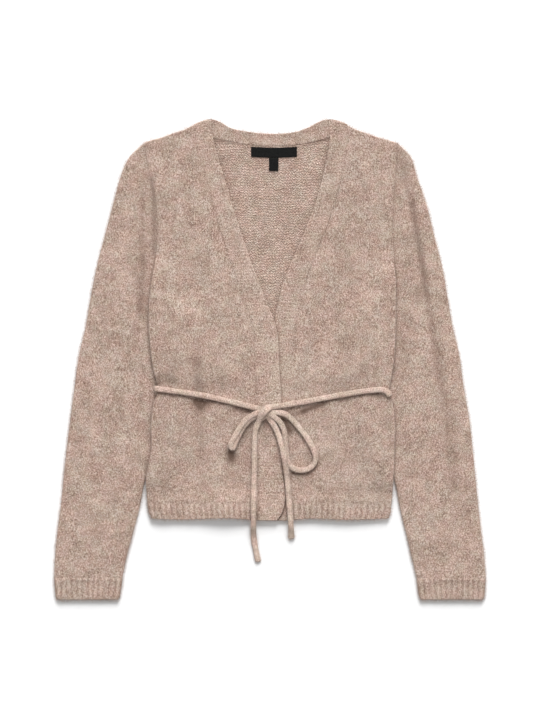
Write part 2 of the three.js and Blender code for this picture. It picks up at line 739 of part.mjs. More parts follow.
// A strand of the tie: a round cord on its route over the cloth
const nearby = [[0, 0], [5, 0], [-5, 0], [0, 6], [0, -6]];
function strand(name, route, steps) {
  const radius = TIE_DIAMETER / 2;
  const shape = new THREE.Shape();
  for (let i = 0; i < 8; i += 1) {
    const angle = (Math.PI * (2 * i + 1)) / 8;
    const point = [radius * Math.cos(angle), radius * Math.sin(angle)];
    if (i === 0) shape.moveTo(...point);
    else shape.lineTo(...point);
  }
  shape.closePath();
  const places = route.map((place) => new THREE.Vector3(place.x, place.y, place.over));
  const plan = new THREE.CatmullRomCurve3(places, false, "centripetal");
  const points = plan.getSpacedPoints(2 * steps).map((place) => {
    const near = nearby.map(([dx, dy]) => clothTop(place.x + dx, place.y + dy));
    return new THREE.Vector3(place.x, place.y, Math.max(...near) + SEAM + radius + place.z);
  });
  const path = new THREE.CatmullRomCurve3(points, false, "centripetal");
  const geometry = new THREE.ExtrudeGeometry(shape, { steps, extrudePath: path, bevelEnabled: false });
  return named(name, geometry, TIE);
}
const strands = [
  strand("tie_right", tieRight, 9),
  strand("tie_left", tieLeft, 13),
  strand("bow_loop_right", loopRight, 18),
  strand("bow_loop_left", loopLeft, 20),
  strand("tie_end_right", tieEndRight, 14),
  strand("tie_end_left", tieEndLeft, 13),
];

// Knot of the bow
const knotShape = new THREE.SphereGeometry(0.5, 14, 9);
knotShape.scale(KNOT.width, KNOT.length, KNOT.height);
knotShape.translate(KNOT.x, KNOT.y, clothTop(KNOT.x, KNOT.y) + SEAM + KNOT.height / 2);
const bowKnot = named("bow_knot", knotShape, TIE);

const cardigan = new THREE.Group();
cardigan.add(back, frontRight, frontLeft, sleeveRight, sleeveLeft);
cardigan.add(bandFrontRight, bandFrontLeft, bandBackNeck);
cardigan.add(hemBack, hemFrontRight, hemFrontLeft, cuffRight, cuffLeft);
cardigan.add(labelMain, labelSize, ...strands, bowKnot);
export default cardigan;
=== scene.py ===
import math

import bmesh
import bpy
import numpy as np
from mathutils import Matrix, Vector


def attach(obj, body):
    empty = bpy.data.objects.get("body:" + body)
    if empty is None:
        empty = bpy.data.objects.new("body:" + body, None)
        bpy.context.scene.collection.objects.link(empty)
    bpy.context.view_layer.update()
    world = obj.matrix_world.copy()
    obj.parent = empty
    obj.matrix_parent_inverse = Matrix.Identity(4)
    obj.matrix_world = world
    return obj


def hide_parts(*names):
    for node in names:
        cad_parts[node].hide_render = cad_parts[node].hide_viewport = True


# Knitted cardigan with a tie at the waist, laid flat on its back with the front side up
# Sizes are millimetres until a mesh is written, which turns them into metres
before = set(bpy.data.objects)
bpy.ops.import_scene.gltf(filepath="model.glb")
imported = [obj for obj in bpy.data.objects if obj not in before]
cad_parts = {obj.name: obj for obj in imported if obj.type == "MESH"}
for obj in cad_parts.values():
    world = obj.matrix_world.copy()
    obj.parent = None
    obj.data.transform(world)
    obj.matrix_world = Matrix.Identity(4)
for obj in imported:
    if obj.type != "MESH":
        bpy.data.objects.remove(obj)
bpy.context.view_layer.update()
MM = 0.001

# Knit and layers, as in the part
WALL = 2.6
SEAM = 0.3
RIB_HEIGHT = 0.8
RIB_PITCH = 8.1
SLEEVE_DEPTH = 2 * WALL + SEAM
SIDE_LIFT = SLEEVE_DEPTH + SEAM
HEM_SEAM = -200.0
CUFF_SEAM = -305.0
CUFF_END = -336.0
ARMHOLE_GAP = -0.35
SHOULDER_TIP = 303.6
SHOULDER_SEAM = 328.2
TIE_CORE = 7.9
TIE_FLATNESS = 0.5

# Sides of the body by height
BODY_SIDES = {
    "y": [304, 283, 261, 231, 191, 141, 100, 60, 20, -10, -31, -44, -60, -85, -127, -165, -197, -225],
    "right": [-175, -172.5, -168.5, -161, -157, -160, -167, -170, -168, -164, -159, -156, -162.5, -166,
              -166.5, -173, -172, -168],
    "left": [177.5, 177, 175.5, 173, 171, 173.5, 176, 176, 175, 172.5, 168.5, 166, 171, 174.5, 174,
             172.5, 170.5, 168],
}
# Free edges of the front bands by height
FRONT_EDGES = {
    "y": [336, 311, 285, 251, 219, 187, 164, 139, 103, 80, 55, 34, -8, -50, -150, -176, -188, -202,
          -216, -226],
    "right": [-81, -80, -73.5, -63, -54, -44, -36, -27.5, -13.5, -5, 5.5, 10.5, 12.8, 15.4, 16.5, 20,
              21.7, 20.3, 16, 9],
    "left": [82, 84, 80, 72.5, 63.5, 51.5, 42, 31, 17, 11.5, 6, 2, -4, -8, -12, -13, -14.5, -13.5,
             -9.5, -3],
}
BAND_WIDTHS = {
    "y": [336, 285, 139, 12, -50, -176, -188, -202, -216, -226],
    "width": [25.5, 26, 30, 34.5, 36.5, 37, 38.5, 37.5, 33.5, 27],
}
SHOULDER_LINE = {"x": [106.3, 120, 137, 150, 165, 178], "y": [328.2, 321.5, 316, 311, 307, 303]}
NECK_LINE = {
    "x": [-106.3, -94, -81, -70, -56, -28, 4, 35, 56, 70, 81, 94, 106.3],
    "seam": [328.2, 320, 311, 308, 305, 300, 298.6, 300, 303.5, 307, 310.5, 320, 328.2],
    "free": [329.6, 334, 336, 332.5, 324.5, 318.5, 316, 318.5, 326, 333.5, 336, 334, 329.6],
}
HEM_LINE = {
    "x": [-170, -120, -60, -15, 12, 60, 110, 170],
    "y": [-222.5, -224, -222, -225, -225.4, -222.5, -224.5, -222],
}
# Air under the fronts by height
FRONT_PUFF = {
    "y": [330, 280, 230, 150, 60, 0, -25, -46, -65, -120, -180, -202, -226],
    "puff": [0, 0.5, 1.6, 2.4, 2.6, 3.2, 3, 0.8, 2.4, 2.8, 1.8, 1.2, 1.6],
}
# Sections of the sleeves from armhole to cuff seam
SLEEVE_PUFF = [0, 0.4, 1.2, 2, 2.8, 3.2, 3.4, 3.4, 3.4, 3.4, 3.4, 3.4, 3.4, 3.2, 3, 2.6, 2.2, 1.6]
RIGHT_SLEEVE = {
    "outer_x": [-175.3, -187, -199, -209.5, -220, -231, -242, -250.5, -258, -267.4, -273.5, -279.5,
                -285, -289, -293, -298, -301, -302],
    "outer_y": [303.6, 294, 280.5, 256, 216, 174, 132, 90, 46, 6, -38, -84, -128, -166, -206, -244,
                -276, -305],
    "inner_x": [-167.3, -165, -156, -147, -137, -131, -129, -129, -131, -136, -143, -153, -164, -175,
                -182, -192, -200.5, -206.5],
    "inner_y": [100, 93, 86, 76, 62, 42, 18, -10, -38, -62, -88, -115, -143, -170, -206, -244, -276,
                -305],
    "puff": SLEEVE_PUFF,
}
LEFT_SLEEVE = {
    "outer_x": [177.8, 189, 199, 206, 219.5, 229.6, 240.5, 248, 255.5, 265, 271, 279, 284, 287.5,
                291.5, 296, 300, 302],
    "outer_y": [303.6, 293, 280.5, 256, 216, 174, 132, 90, 46, 6, -38, -84, -128, -166, -206, -244,
                -276, -305],
    "inner_x": [176.3, 173, 165, 156, 146, 140, 137, 137, 139, 143, 149, 157, 167, 175, 181.5, 190.5,
                198, 205],
    "inner_y": [100, 93, 86, 76, 62, 42, 18, -10, -38, -62, -88, -115, -145, -173, -206, -244, -276,
                -305],
    "puff": SLEEVE_PUFF,
}

# Routes of the tie: x, y, and height over the cloth that a strand would rest on
TIE_RIGHT = [(-158.2, -41, -0.3), (-148, -42.4, 0), (-102, -48.9, 0.2), (-57, -58.6, 0),
             (-19.2, -68, 0)]
TIE_LEFT = [(167.5, -51.5, 0), (164.5, -46, 0.2), (157, -42.4, 0.2), (141, -43.2, 0),
            (108, -48, 0.2), (73.5, -54.4, 0), (35, -61.4, 0), (3.6, -66.2, 0.5)]
LOOP_RIGHT = [(-21, -80, 0), (-29.5, -85.6, 0), (-37.6, -95.1, 0), (-44.1, -106.1, 0), (-48.9, -116.7, 0.3),
              (-52.2, -124.4, 1.2), (-54.8, -119.8, 2), (-47.9, -105.3, 2), (-40.6, -93.5, 1.8),
              (-31.8, -82.5, 1.6), (-21, -76, 2.4)]
LOOP_LEFT = [(4.6, -74.3, 0.2), (14, -74.4, 0), (24.4, -78.4, 0), (40.6, -95.2, 0), (54, -113.4, 0),
             (62, -129.5, 0), (63.4, -141, 0), (57, -150.6, 0), (44.6, -154.8, 0), (31.4, -151.4, 0),
             (24.6, -142, 0), (22, -126, 0), (20.8, -108, 0), (18.4, -96, 0), (13.4, -87, 0.6),
             (6, -80.6, 2)]
TIE_END_RIGHT = [(-14.4, -85, 0), (-19.5, -96, 0), (-21.6, -118, 0), (-21.7, -143.5, 0),
                 (-22.8, -191, 0), (-23.1, -222, 0.2), (-22.6, -250, 0.2), (-16.2, -283.5, 0)]
TIE_END_LEFT = [(-0.2, -83.8, 0), (5.6, -92, 0), (11.6, -105, 1.6), (15.4, -118, 4.4),
                (18.8, -132, 4.8), (21.6, -147, 4.8), (23.4, -161, 3), (25.2, -180, 0.2),
                (28, -215, 0.2), (29.6, -238, 0.2), (30, -251.3, 0)]
KNOT_X, KNOT_Y = -7.6, -72.0

# Soft folds of the upper side: a line from (x0, y0) to (x1, y1), its half width, its height and how much
# painted shade (below 0) or painted light is put on the knit there
FOLDS = [
    (-163.5, 252, -162, 150, 4, -0.4, -0.3), (-179, 232, -179, 150, 6, -0.4, -0.17),
    (-178, 142, -176, 122, 5, -0.5, -0.28), (-179, 112, -182, 62, 5.5, -0.6, -0.28),
    (-187, 46, -186, 36, 6, -0.4, -0.1), (184, 276, 198, 221, 7, -0.8, -0.22),
    (199, 216, 221, 82, 5, -1, -0.4), (206, 100, 207, 80, 4.5, -0.4, -0.18),
    (224, 68, 232, 12, 6, -1, -0.27), (234, 2, 243, -50, 6.5, -1, -0.25),
    (245, -60, 257, -178, 8, -0.7, -0.17), (-93, 50, -101, -2, 8, -0.6, -0.1),
    (-102, -6, -98, -50, 8, -0.8, -0.28), (-103, -57, -88, -60, 6, -0.8, -0.5),
    (-96, -62, -96, -68, 6, -1, -0.5), (-104, -61, -100, -64, 5, 0, -0.4),
    (-48, -68.5, -26, -74, 3.6, 0, -0.46), (-99, -78, -97, -127, 6, -0.8, -0.15),
    (-95, -134, -91, -190, 7, -0.7, -0.1), (-130, -8, -138, -14, 7, -0.7, -0.18),
    (-146, -27, -136, -31, 8, -1, -0.34), (-157, -26, -156, -37, 5, -0.8, -0.42),
    (151, -50, 154, -56, 6, -1, -0.2), (-118, -2, -113, -18, 9, 0.6, 0.05),
    (120, -5, 100, -28, 12, 0.7, 0.05), (60, -20, 40, -34, 10, 0.5, 0.03),
    (-110, -110, -60, -180, 45, 0, 0.02), (60, -110, 130, -180, 50, 0, 0.035),
    (-55, -131, -54, -138, 7, -0.8, -0.8), (-30, -92, -42, -116, 6, -0.2, -0.24),
    (-7, -86, -6, -94, 5, 0, -0.34), (20, -87, 28, -100, 5.5, 0, -0.74),
    (32, -76, 45, -73.5, 4, 0, -0.34), (48, -71.5, 76, -61.5, 4.4, 0, -0.64),
    (33, -158.5, 50, -160, 3.4, 0, -0.6), (55, -157.5, 66.5, -147, 3.4, 0, -0.5),
    (-262, -262, -240, -284, 30, 0, -0.035), (262, -164, 270, -190, 32, 0, -0.035),
    (-172, -146, -171, -158, 5, 0, -0.26),
]
FOLD_HEIGHT, FOLD_PAINTED_SHADING = 5, 6


def through(table, key, column):
    """Smooth curve through one column of a table, for arrays."""
    order = np.argsort(table[key])
    keys = np.array(table[key], float)[order]
    values = np.array(table[column], float)[order]
    secants = np.diff(values) / np.diff(keys)
    slopes = np.concatenate([secants[:1], (secants[:-1] + secants[1:]) / 2, secants[-1:]])

    def at(where):
        x = np.clip(np.asarray(where, float), keys[0], keys[-1])
        i = np.clip(np.searchsorted(keys, x, side="right") - 1, 0, len(keys) - 2)
        span = keys[i + 1] - keys[i]
        t = (x - keys[i]) / span
        turn = span * t * (1 - t) * ((1 - t) * slopes[i] - t * slopes[i + 1])
        return values[i] + (values[i + 1] - values[i]) * t * t * (3 - 2 * t) + turn

    return at


def ease(value):
    t = np.clip(value, 0, 1)
    return t * t * (3 - 2 * t)


def mix(a, b, t):
    return a + (b - a) * t


def hump(value, middle, width):
    """1 at the middle, fading to both sides."""
    return np.exp(-(((value - middle) / width) ** 2))


side_right = through(BODY_SIDES, "y", "right")
side_left = through(BODY_SIDES, "y", "left")
edge_right = through(FRONT_EDGES, "y", "right")
edge_left = through(FRONT_EDGES, "y", "left")
band_width = through(BAND_WIDTHS, "y", "width")
shoulder_at = through(SHOULDER_LINE, "x", "y")
neck_seam = through(NECK_LINE, "x", "seam")
neck_free = through(NECK_LINE, "x", "free")
hem_bottom = through(HEM_LINE, "x", "y")
puff_at = through(FRONT_PUFF, "y", "puff")


def seam_right(y):
    return edge_right(y) - band_width(y)


def seam_left(y):
    return edge_left(y) + band_width(y)


def inner_fold(sleeve):
    hidden = {"y": sleeve["inner_y"][:15], "x": [abs(x) for x in sleeve["inner_x"][:15]]}
    return through(hidden, "y", "x")


inner_right = inner_fold(RIGHT_SLEEVE)
inner_left = inner_fold(LEFT_SLEEVE)


def lift(x, y):
    """Lift of the side of the body where a sleeve lies under it."""
    inner = np.where(x < 0, inner_right(y), inner_left(y))
    along = np.minimum(ease((152 - y) / 50), ease((y + 198) / 33))
    return SIDE_LIFT * along * ease((np.abs(x) - (inner - 50)) / 44)


def along_folds(x, y, column):
    """Sum of one column of the fold table over all folds, fading to both sides of each."""
    total = 0 * x
    for fold in FOLDS:
        ax, ay, ex, ey, width = fold[:5]
        bx, by = ex - ax, ey - ay
        t = np.clip(((x - ax) * bx + (y - ay) * by) / (bx * bx + by * by), 0, 1)
        away = np.hypot(x - ax - t * bx, y - ay - t * by)
        total = total + fold[column] * hump(away, 0, width)
    return total


def relief(x, y):
    """Soft folds and the slight unevenness of knit that lies by itself."""
    uneven = 0.22 * np.sin(x / 17 + 1.3) * np.sin(y / 23 + 0.4) + 0.18 * np.sin((x + y) / 31)
    return uneven + along_folds(x, y, FOLD_HEIGHT)


def front_base(x, y):
    """Underside of a front; its lower edge stands off the surface in two places."""
    side = np.where(x < 0, side_right(y), side_left(y))
    seam = np.where(x < 0, seam_right(y), seam_left(y))
    across = np.clip((x - side) / (seam - side), 0, 1)
    raised = 5.5 * hump(x, -60, 30) + 2.5 * hump(x, -152, 14)
    hem_rise = RIB_HEIGHT * ease((-184 - y) / 14) + raised * ease((-170 - y) / 45)
    air = np.sin(np.pi * across)
    free = np.minimum(1, 3 * air)
    return lift(x, y) + WALL + SEAM + hem_rise + np.maximum(puff_at(y) * air + relief(x, y) * free, 0)


def right_base(x, y):
    return front_base(x, y) + (WALL + SEAM) * ease((x - edge_left(y) + 21) / 14)


def drop(distance, radius):
    """How far a rounded edge has come down at a distance in from the edge."""
    inside = np.clip(radius - distance, 0, radius)
    return radius - np.sqrt(np.maximum(radius**2 - inside**2, 0))


# Meshes
def placed(name, mesh, material):
    mesh.materials.append(material)
    piece = bpy.data.objects.new(name, mesh)
    bpy.context.scene.collection.objects.link(piece)
    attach(piece, "root")
    return piece


def write_mesh(name, bm, material):
    """Smooth-shaded mesh, but for the faces that lie level."""
    bmesh.ops.recalc_face_normals(bm, faces=bm.faces[:])
    mesh = bpy.data.meshes.new(name)
    bm.to_mesh(mesh)
    bm.free()
    normals = np.zeros(3 * len(mesh.polygons), np.float32)
    mesh.polygons.foreach_get("normal", normals)
    level = np.abs(normals.reshape(-1, 3)[:, :2]).max(axis=1) < 0.008
    mesh.polygons.foreach_set("use_smooth", (~level).tolist())
    return placed(name, mesh, material)


def shaped_grid(name, columns, rows, place, material):
    """A grid of columns by rows cells laid over a surface. place(i, j) gives the points, the two weave
    coordinates, all in millimetres, and the tone of painted light and shade; edges that meet are joined."""
    bm = bmesh.new()
    bmesh.ops.create_grid(bm, x_segments=columns, y_segments=rows, size=0.5)
    start = np.array([v.co[:2] for v in bm.verts])
    i = np.rint((start[:, 0] + 0.5) * columns).astype(int)
    j = np.rint((start[:, 1] + 0.5) * rows).astype(int)
    x, y, z, across, along, tone = place(i, j)
    points = np.stack([x, y, z], axis=1) * MM
    weave = bm.loops.layers.uv.new("weave")
    flat = np.stack([across, along], axis=1) * MM
    # Tone of the painted light and shade at each point
    painted_tone = bm.verts.layers.float.new("painted_shading")
    for vert, point, value in zip(bm.verts, points, tone):
        vert.co = point
        vert[painted_tone] = value
    bm.verts.index_update()
    for face in bm.faces:
        for loop in face.loops:
            loop[weave].uv = flat[loop.vert.index]
    bmesh.ops.remove_doubles(bm, verts=bm.verts[:], dist=1e-6)
    bmesh.ops.dissolve_degenerate(bm, edges=bm.edges[:], dist=1e-7)
    return write_mesh(name, bm, material)


FAR = 99.0


def lines(start_steps, count, end_steps):
    """Grid lines: steps in from the start, count even parts, steps in from the end."""
    first, last = len(start_steps), len(end_steps)
    even = [(k + 1) / (count + 1) for k in range(count)]
    between = [mix(start_steps[-1], -end_steps[-1], p) for p in even]
    table = {
        "part": [0.0] * first + even + [1.0] * last,
        "shift": list(start_steps) + between + [-s for s in reversed(end_steps)],
        "start": list(start_steps) + [FAR] * (count + last),
        "end": [FAR] * (count + first) + list(reversed(end_steps)),
    }
    return {name: np.array(values) for name, values in table.items()}


ROUND = [0, 0.1, 0.35, 0.75, 1.3, 2.4]
SEWN = [0, 0.04, 0.15, 1.0]
# How much painted light is put on the knit round a free edge
EDGE_PAINTED_LIGHT = 0.1


def cloth(name, node, across, along, spot, heights, rounding, material, turn=False, tone=None):
    """A wall of knit on a grid, with rounded edges. spot gives plan points, heights its two sides.
    rounding is (underside, upper side) for the start, end, bottom and top edges."""
    count = len(across["part"])
    ring = np.concatenate([np.arange(count), np.arange(count)[::-1]])
    rows = len(along["part"])

    def place(i, j):
        k = i % (2 * count)
        c = ring[k]
        r = np.clip(j - 1, 0, rows - 1)
        part_c, part_r = across["part"][c], along["part"][r]
        x, y = spot(part_c, across["shift"][c], part_r, along["shift"][r])
        low, high = heights(x, y, part_c, part_r)
        steps = (across["start"][c], across["end"][c], along["start"][r], along["end"][r])
        below, above = (np.maximum.reduce([
            drop(step, edge[side](y) if callable(edge[side]) else edge[side])
            for step, edge in zip(steps, rounding)]) for side in (0, 1))
        low = low + below
        high = high - above
        z = np.where(k < count, high, low)
        z = np.where((j == 0) | (j == rows + 1), (low + high) / 2, z)
        u, v = (y, x) if turn else (x, y)
        # Painted shade and light of the folds, and painted light round the free edges
        shade = 1 + along_folds(x, y, FOLD_PAINTED_SHADING) + EDGE_PAINTED_LIGHT * np.clip(above, 0, 1.5)
        if tone is not None:
            shade = shade * tone(x, y, part_c, part_r)
        return x, y, z, u, v, shade

    piece = shaped_grid(name, 2 * count, rows + 1, place, material)
    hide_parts(node)
    return piece


def plan_area(outline):
    x, y = np.array(outline, float).T
    return abs(np.dot(x, np.roll(y, -1)) - np.dot(y, np.roll(x, -1))) / 2 * MM * MM


# Camera: a long lens straight above the 540 by 720 frame
PIXEL = 1.4
SENSOR = 24
FRAME_HEIGHT = 720 * PIXEL * MM
CAMERA_HEIGHT = 5.0
camera_data = bpy.data.cameras.new("camera")
camera_data.sensor_fit = "VERTICAL"
camera_data.sensor_height = SENSOR
camera_data.lens = SENSOR / 2 * CAMERA_HEIGHT / (FRAME_HEIGHT / 2)
camera_data.clip_end = 50
camera = bpy.data.objects.new("camera", camera_data)
camera.location = (0, -PIXEL / 2 * MM, CAMERA_HEIGHT)
bpy.context.scene.collection.objects.link(camera)
bpy.context.scene.camera = camera


# Materials
def put(tree, socket, value):
    """Links an output to a socket, or sets a number or a colour on it."""
    if isinstance(value, bpy.types.NodeSocket):
        tree.links.new(value, socket)
    elif socket.type == "RGBA":
        socket.default_value = (*value, 1)
    else:
        socket.default_value = value


def new_node(tree, kind, values):
    """A node with its sockets filled, by number or name."""
    node = tree.nodes.new(kind)
    for key, value in values.items():
        put(tree, node.inputs[key], value)
    return node


def math_node(tree, operation, *values, clamp=False):
    node = new_node(tree, "ShaderNodeMath", dict(enumerate(values)))
    node.operation = operation
    node.use_clamp = clamp
    return node.outputs[0]


def times(tree, a, b, clamp=False):
    return math_node(tree, "MULTIPLY", a, b, clamp=clamp)


def plus(tree, a, b):
    return math_node(tree, "ADD", a, b)


def scaled(tree, value, factor, offset, clamp=False):
    return math_node(tree, "MULTIPLY_ADD", value, factor, offset, clamp=clamp)


def wave(tree, value, factor=math.pi):
    return math_node(tree, "SINE", times(tree, value, factor))


def noise_node(tree, vector, scale, detail, rough):
    values = {"Vector": vector, "Scale": scale, "Detail": detail, "Roughness": rough}
    return new_node(tree, "ShaderNodeTexNoise", values).outputs["Fac"]


def ramp_node(tree, value, stops):
    node = new_node(tree, "ShaderNodeValToRGB", {0: value})
    band = node.color_ramp
    for _ in range(len(stops) - 2):
        band.elements.new(0.5)
    for element, (position, colour) in zip(band.elements, stops):
        element.position = position
        element.color = (*colour, 1)
    return node.outputs[0]


def blend_node(tree, factor, a, b, kind="MIX"):
    node = tree.nodes.new("ShaderNodeMix")
    node.data_type = "RGBA"
    node.blend_type = kind
    for number, value in ((0, factor), (6, a), (7, b)):
        put(tree, node.inputs[number], value)
    return node.outputs[2]


def stretched(tree, vector, scale, turn):
    values = {"Vector": vector, "Scale": scale, "Rotation": (0, 0, turn)}
    return new_node(tree, "ShaderNodeMapping", values).outputs[0]


def split(tree, vector):
    return new_node(tree, "ShaderNodeSeparateXYZ", {0: vector}).outputs


def object_place(tree):
    return tree.nodes.new("ShaderNodeTexCoord").outputs["Object"]


def group(name, inputs, outputs):
    """A node group; inputs and outputs give each socket's kind by its name."""
    tree = bpy.data.node_groups.new(name, "ShaderNodeTree")
    for direction, sockets in (("INPUT", inputs), ("OUTPUT", outputs)):
        for label, kind in sockets.items():
            tree.interface.new_socket(label, in_out=direction, socket_type="NodeSocket" + kind)
    return tree, tree.nodes.new("NodeGroupInput").outputs, tree.nodes.new("NodeGroupOutput").inputs


def group_node(tree, inner, values):
    node = tree.nodes.new("ShaderNodeGroup")
    node.node_tree = inner
    for label, value in values.items():
        put(tree, node.inputs[label], value)
    return node.outputs


# Shares of the three noises in the heather's tone
CLOUD_SHARE = 1.85
SPECK_SHARE = 4.4
STREAK_SHARE = 2.6


def heather_group():
    """Yarn of mixed fibres: base colour with darker and lighter fibres in clouds, pinker in one patch
    and greyer in the next."""
    tree, given, out = group(
        "heather yarn", {"Vector": "Vector", "Base": "Color", "Dark": "Color", "Light": "Color"},
        {"Color": "Color", "Fibre": "Float"})
    place = given["Vector"]
    clouds = noise_node(tree, stretched(tree, place, (0.8, 1, 1), 0), 52, 3.5, 0.8)
    specks = noise_node(tree, stretched(tree, place, (1, 0.8, 1), 0.25), 740, 1, 0.8)
    streaks = math_node(tree, "MAXIMUM", *[
        noise_node(tree, stretched(tree, place, (1, 0.45, 1), turn), 780, 1, 0.6) for turn in (0.6, -0.7)])
    value = scaled(tree, clouds, CLOUD_SHARE, -0.5 * CLOUD_SHARE)
    value = plus(tree, value, scaled(tree, specks, SPECK_SHARE, -0.5 * SPECK_SHARE))
    value = plus(tree, value, scaled(tree, streaks, STREAK_SHARE, -0.56 * STREAK_SHARE))
    colour = blend_node(tree, times(tree, value, -1.0, clamp=True), given["Base"], given["Dark"])
    colour = blend_node(tree, times(tree, value, 1.0, clamp=True), colour, given["Light"])
    for scale, one, other in ((62, (1.038, 0.975, 0.978), (0.955, 0.996, 0.978)),
                              (90, (1.0, 1.0, 1.022), (1.0, 0.998, 0.965))):
        mask = scaled(tree, noise_node(tree, place, scale, 3, 0.65), 4.0, -1.5, clamp=True)
        colour = blend_node(tree, 1.0, colour, blend_node(tree, mask, one, other), "MULTIPLY")
    put(tree, out["Color"], colour)
    put(tree, out["Fibre"], plus(tree, times(tree, streaks, 0.8), specks))
    return tree


def pattern_group(name, uneven, pattern):
    """A side of the knit. Its stitches are a little uneven, as in brushed yarn, and their columns run
    across the weave's first coordinate."""
    tree, given, out = group(
        name, {"Weave": "Vector", "Stitch Width": "Float", "Stitch Height": "Float"},
        {"Height": "Float", "Gap Shade": "Float"})
    counts = []
    for part, label, scale in zip(split(tree, given["Weave"]), ("Stitch Width", "Stitch Height"), (38, 47)):
        shift = scaled(tree, noise_node(tree, given["Weave"], scale, 3, 0.6), uneven, -0.5 * uneven)
        counts.append(plus(tree, shift, math_node(tree, "DIVIDE", part, given[label])))
    height = pattern(tree, *counts)
    put(tree, out["Height"], height)
    # Painted shade for the gaps between stitches, where the height is low
    put(tree, out["Gap Shade"], scaled(tree, height, -2.2, 1.0, clamp=True))
    return tree


def plain_side(tree, column, row):
    """Columns of V stitches."""
    centre = math_node(tree, "SUBTRACT", math_node(tree, "FRACT", column), 0.5)
    leg = times(tree, math_node(tree, "ABSOLUTE", centre), 2.0)
    slant = math_node(tree, "SUBTRACT", row, times(tree, leg, 0.9))
    steps = math_node(tree, "POWER", math_node(tree, "ABSOLUTE", wave(tree, slant)), 0.6)
    legs = math_node(tree, "POWER", math_node(tree, "MAXIMUM", wave(tree, leg), 0.0), 0.7)
    return times(tree, legs, scaled(tree, steps, 0.6, 0.4))


def purl_side(tree, column, row):
    """The wrong side of the knit: rows of small bumps across the columns."""
    wavy = plus(tree, row, times(tree, wave(tree, column, 2 * math.pi), 0.22))
    return math_node(tree, "ABSOLUTE", wave(tree, wavy))


HEATHER = heather_group()
STITCHES = pattern_group("knit stitches", 1.3, plain_side)
PURL = pattern_group("purl bumps", 3.4, purl_side)
YARN = {"Base": (0.472, 0.340, 0.278), "Dark": (0.20, 0.124, 0.091), "Light": (0.765, 0.638, 0.556)}
PALE_YARN = {"Base": (0.62, 0.47, 0.392), "Dark": (0.38, 0.266, 0.21), "Light": (0.84, 0.70, 0.612)}


def new_material(name, roughness, specular, sheen=0.0):
    material = bpy.data.materials.new(name)
    material.use_nodes = True
    shader = material.node_tree.nodes["Principled BSDF"].inputs
    shader["Roughness"].default_value = roughness
    shader["Specular IOR Level"].default_value = specular
    shader["Sheen Weight"].default_value = sheen
    return material, material.node_tree, shader


def bumped(tree, shader, height, strength, distance):
    values = {"Strength": strength, "Distance": distance, "Height": height}
    put(tree, shader["Normal"], new_node(tree, "ShaderNodeBump", values).outputs[0])


def knit_material(name, yarn, pattern, stitch, bump=0.7):
    """Brushed heather knit; pattern is the stitch group, stitch its width and height in metres."""
    material, tree, shader = new_material(name, 0.95, 0.15, 0.12)
    shader["Sheen Roughness"].default_value = 0.6
    weave = tree.nodes.new("ShaderNodeUVMap")
    weave.uv_map = "weave"
    painted_tone = tree.nodes.new("ShaderNodeAttribute")
    painted_tone.attribute_name = "painted_shading"
    fibres = group_node(tree, HEATHER, dict(yarn, Vector=object_place(tree)))
    stitches = group_node(tree, pattern, {
        "Weave": weave.outputs[0], "Stitch Width": stitch[0], "Stitch Height": stitch[1]})
    # Painted shade in the gaps between stitches
    shaded = blend_node(tree, times(tree, stitches["Gap Shade"], 0.6), fibres["Color"], yarn["Dark"])
    # The vertex tone puts painted shade on the knit below 1, towards a darker yarn colour, and painted light
    # above 1, towards the light yarn colour
    shadow = scaled(tree, painted_tone.outputs["Fac"], -1.5, 1.5, clamp=True)
    shaded = blend_node(tree, shadow, shaded, tuple(0.8 * v for v in yarn["Dark"]))
    shine = scaled(tree, painted_tone.outputs["Fac"], 2.0, -2.0, clamp=True)
    put(tree, shader["Base Color"], blend_node(tree, shine, shaded, yarn["Light"]))
    bumped(tree, shader, plus(tree, times(tree, fibres["Fibre"], 0.5), stitches["Height"]), bump, 0.0009)
    return material


STITCH = (0.0039, 0.00305)
knit = knit_material("brushed heather knit", YARN, STITCHES, STITCH)
inside_knit = knit_material("heather knit wrong side", YARN, PURL, (0.0041, 0.0038), bump=0.75)
rib_knit = knit_material("heather ribbing", YARN, STITCHES, STITCH)
tie_knit = knit_material("knitted tube cord", PALE_YARN, STITCHES, (0.0029, 0.0026))


def fuzz_material():
    material, tree, shader = new_material("loose brushed fibres", 0.9, 0.2, 0.2)
    put(tree, shader["Base Color"], ramp_node(tree, noise_node(tree, object_place(tree), 240, 2, 0.7), [
        (0.38, (0.22, 0.15, 0.115)), (0.5, (0.44, 0.325, 0.268)), (0.62, (0.64, 0.52, 0.45))]))
    return material


fuzz = fuzz_material()


def label_material():
    """Black woven ribbon: fine crossing threads."""
    material, tree, shader = new_material("black woven ribbon", 0.6, 0.12)
    place = object_place(tree)
    parts = split(tree, place)
    warp = wave(tree, parts[0], 2 * math.pi / 0.0005)
    weft = wave(tree, parts[1], 2 * math.pi / 0.0004)
    bumped(tree, shader, times(tree, warp, weft), 0.4, 0.0001)
    put(tree, shader["Base Color"], ramp_node(tree, noise_node(tree, place, 700, 2, 0.5), [
        (0.35, (0.002, 0.002, 0.002)), (0.7, (0.008, 0.008, 0.0075))]))
    return material


label_cloth = label_material()


# The tie: two knitted cords, each from its side seam through the knot, round a loop and to its end
CLOTH_END = -240


def cloth_top(x, y):
    base = np.where(x < edge_right(y), right_base(x, y), front_base(x, y))
    height = (base + WALL + RIB_HEIGHT * ease((-190 - y) / 8)) * ease((y - CLOTH_END) / 12)
    return np.where(y < CLOTH_END, 0, height)


def reach_along(line):
    """Distance of each point of a line from its start."""
    return np.concatenate([[0], np.cumsum(np.linalg.norm(np.diff(line, axis=0), axis=1))])


def unit(vectors):
    return vectors / (np.linalg.norm(vectors, axis=1)[:, None] + 1e-12)


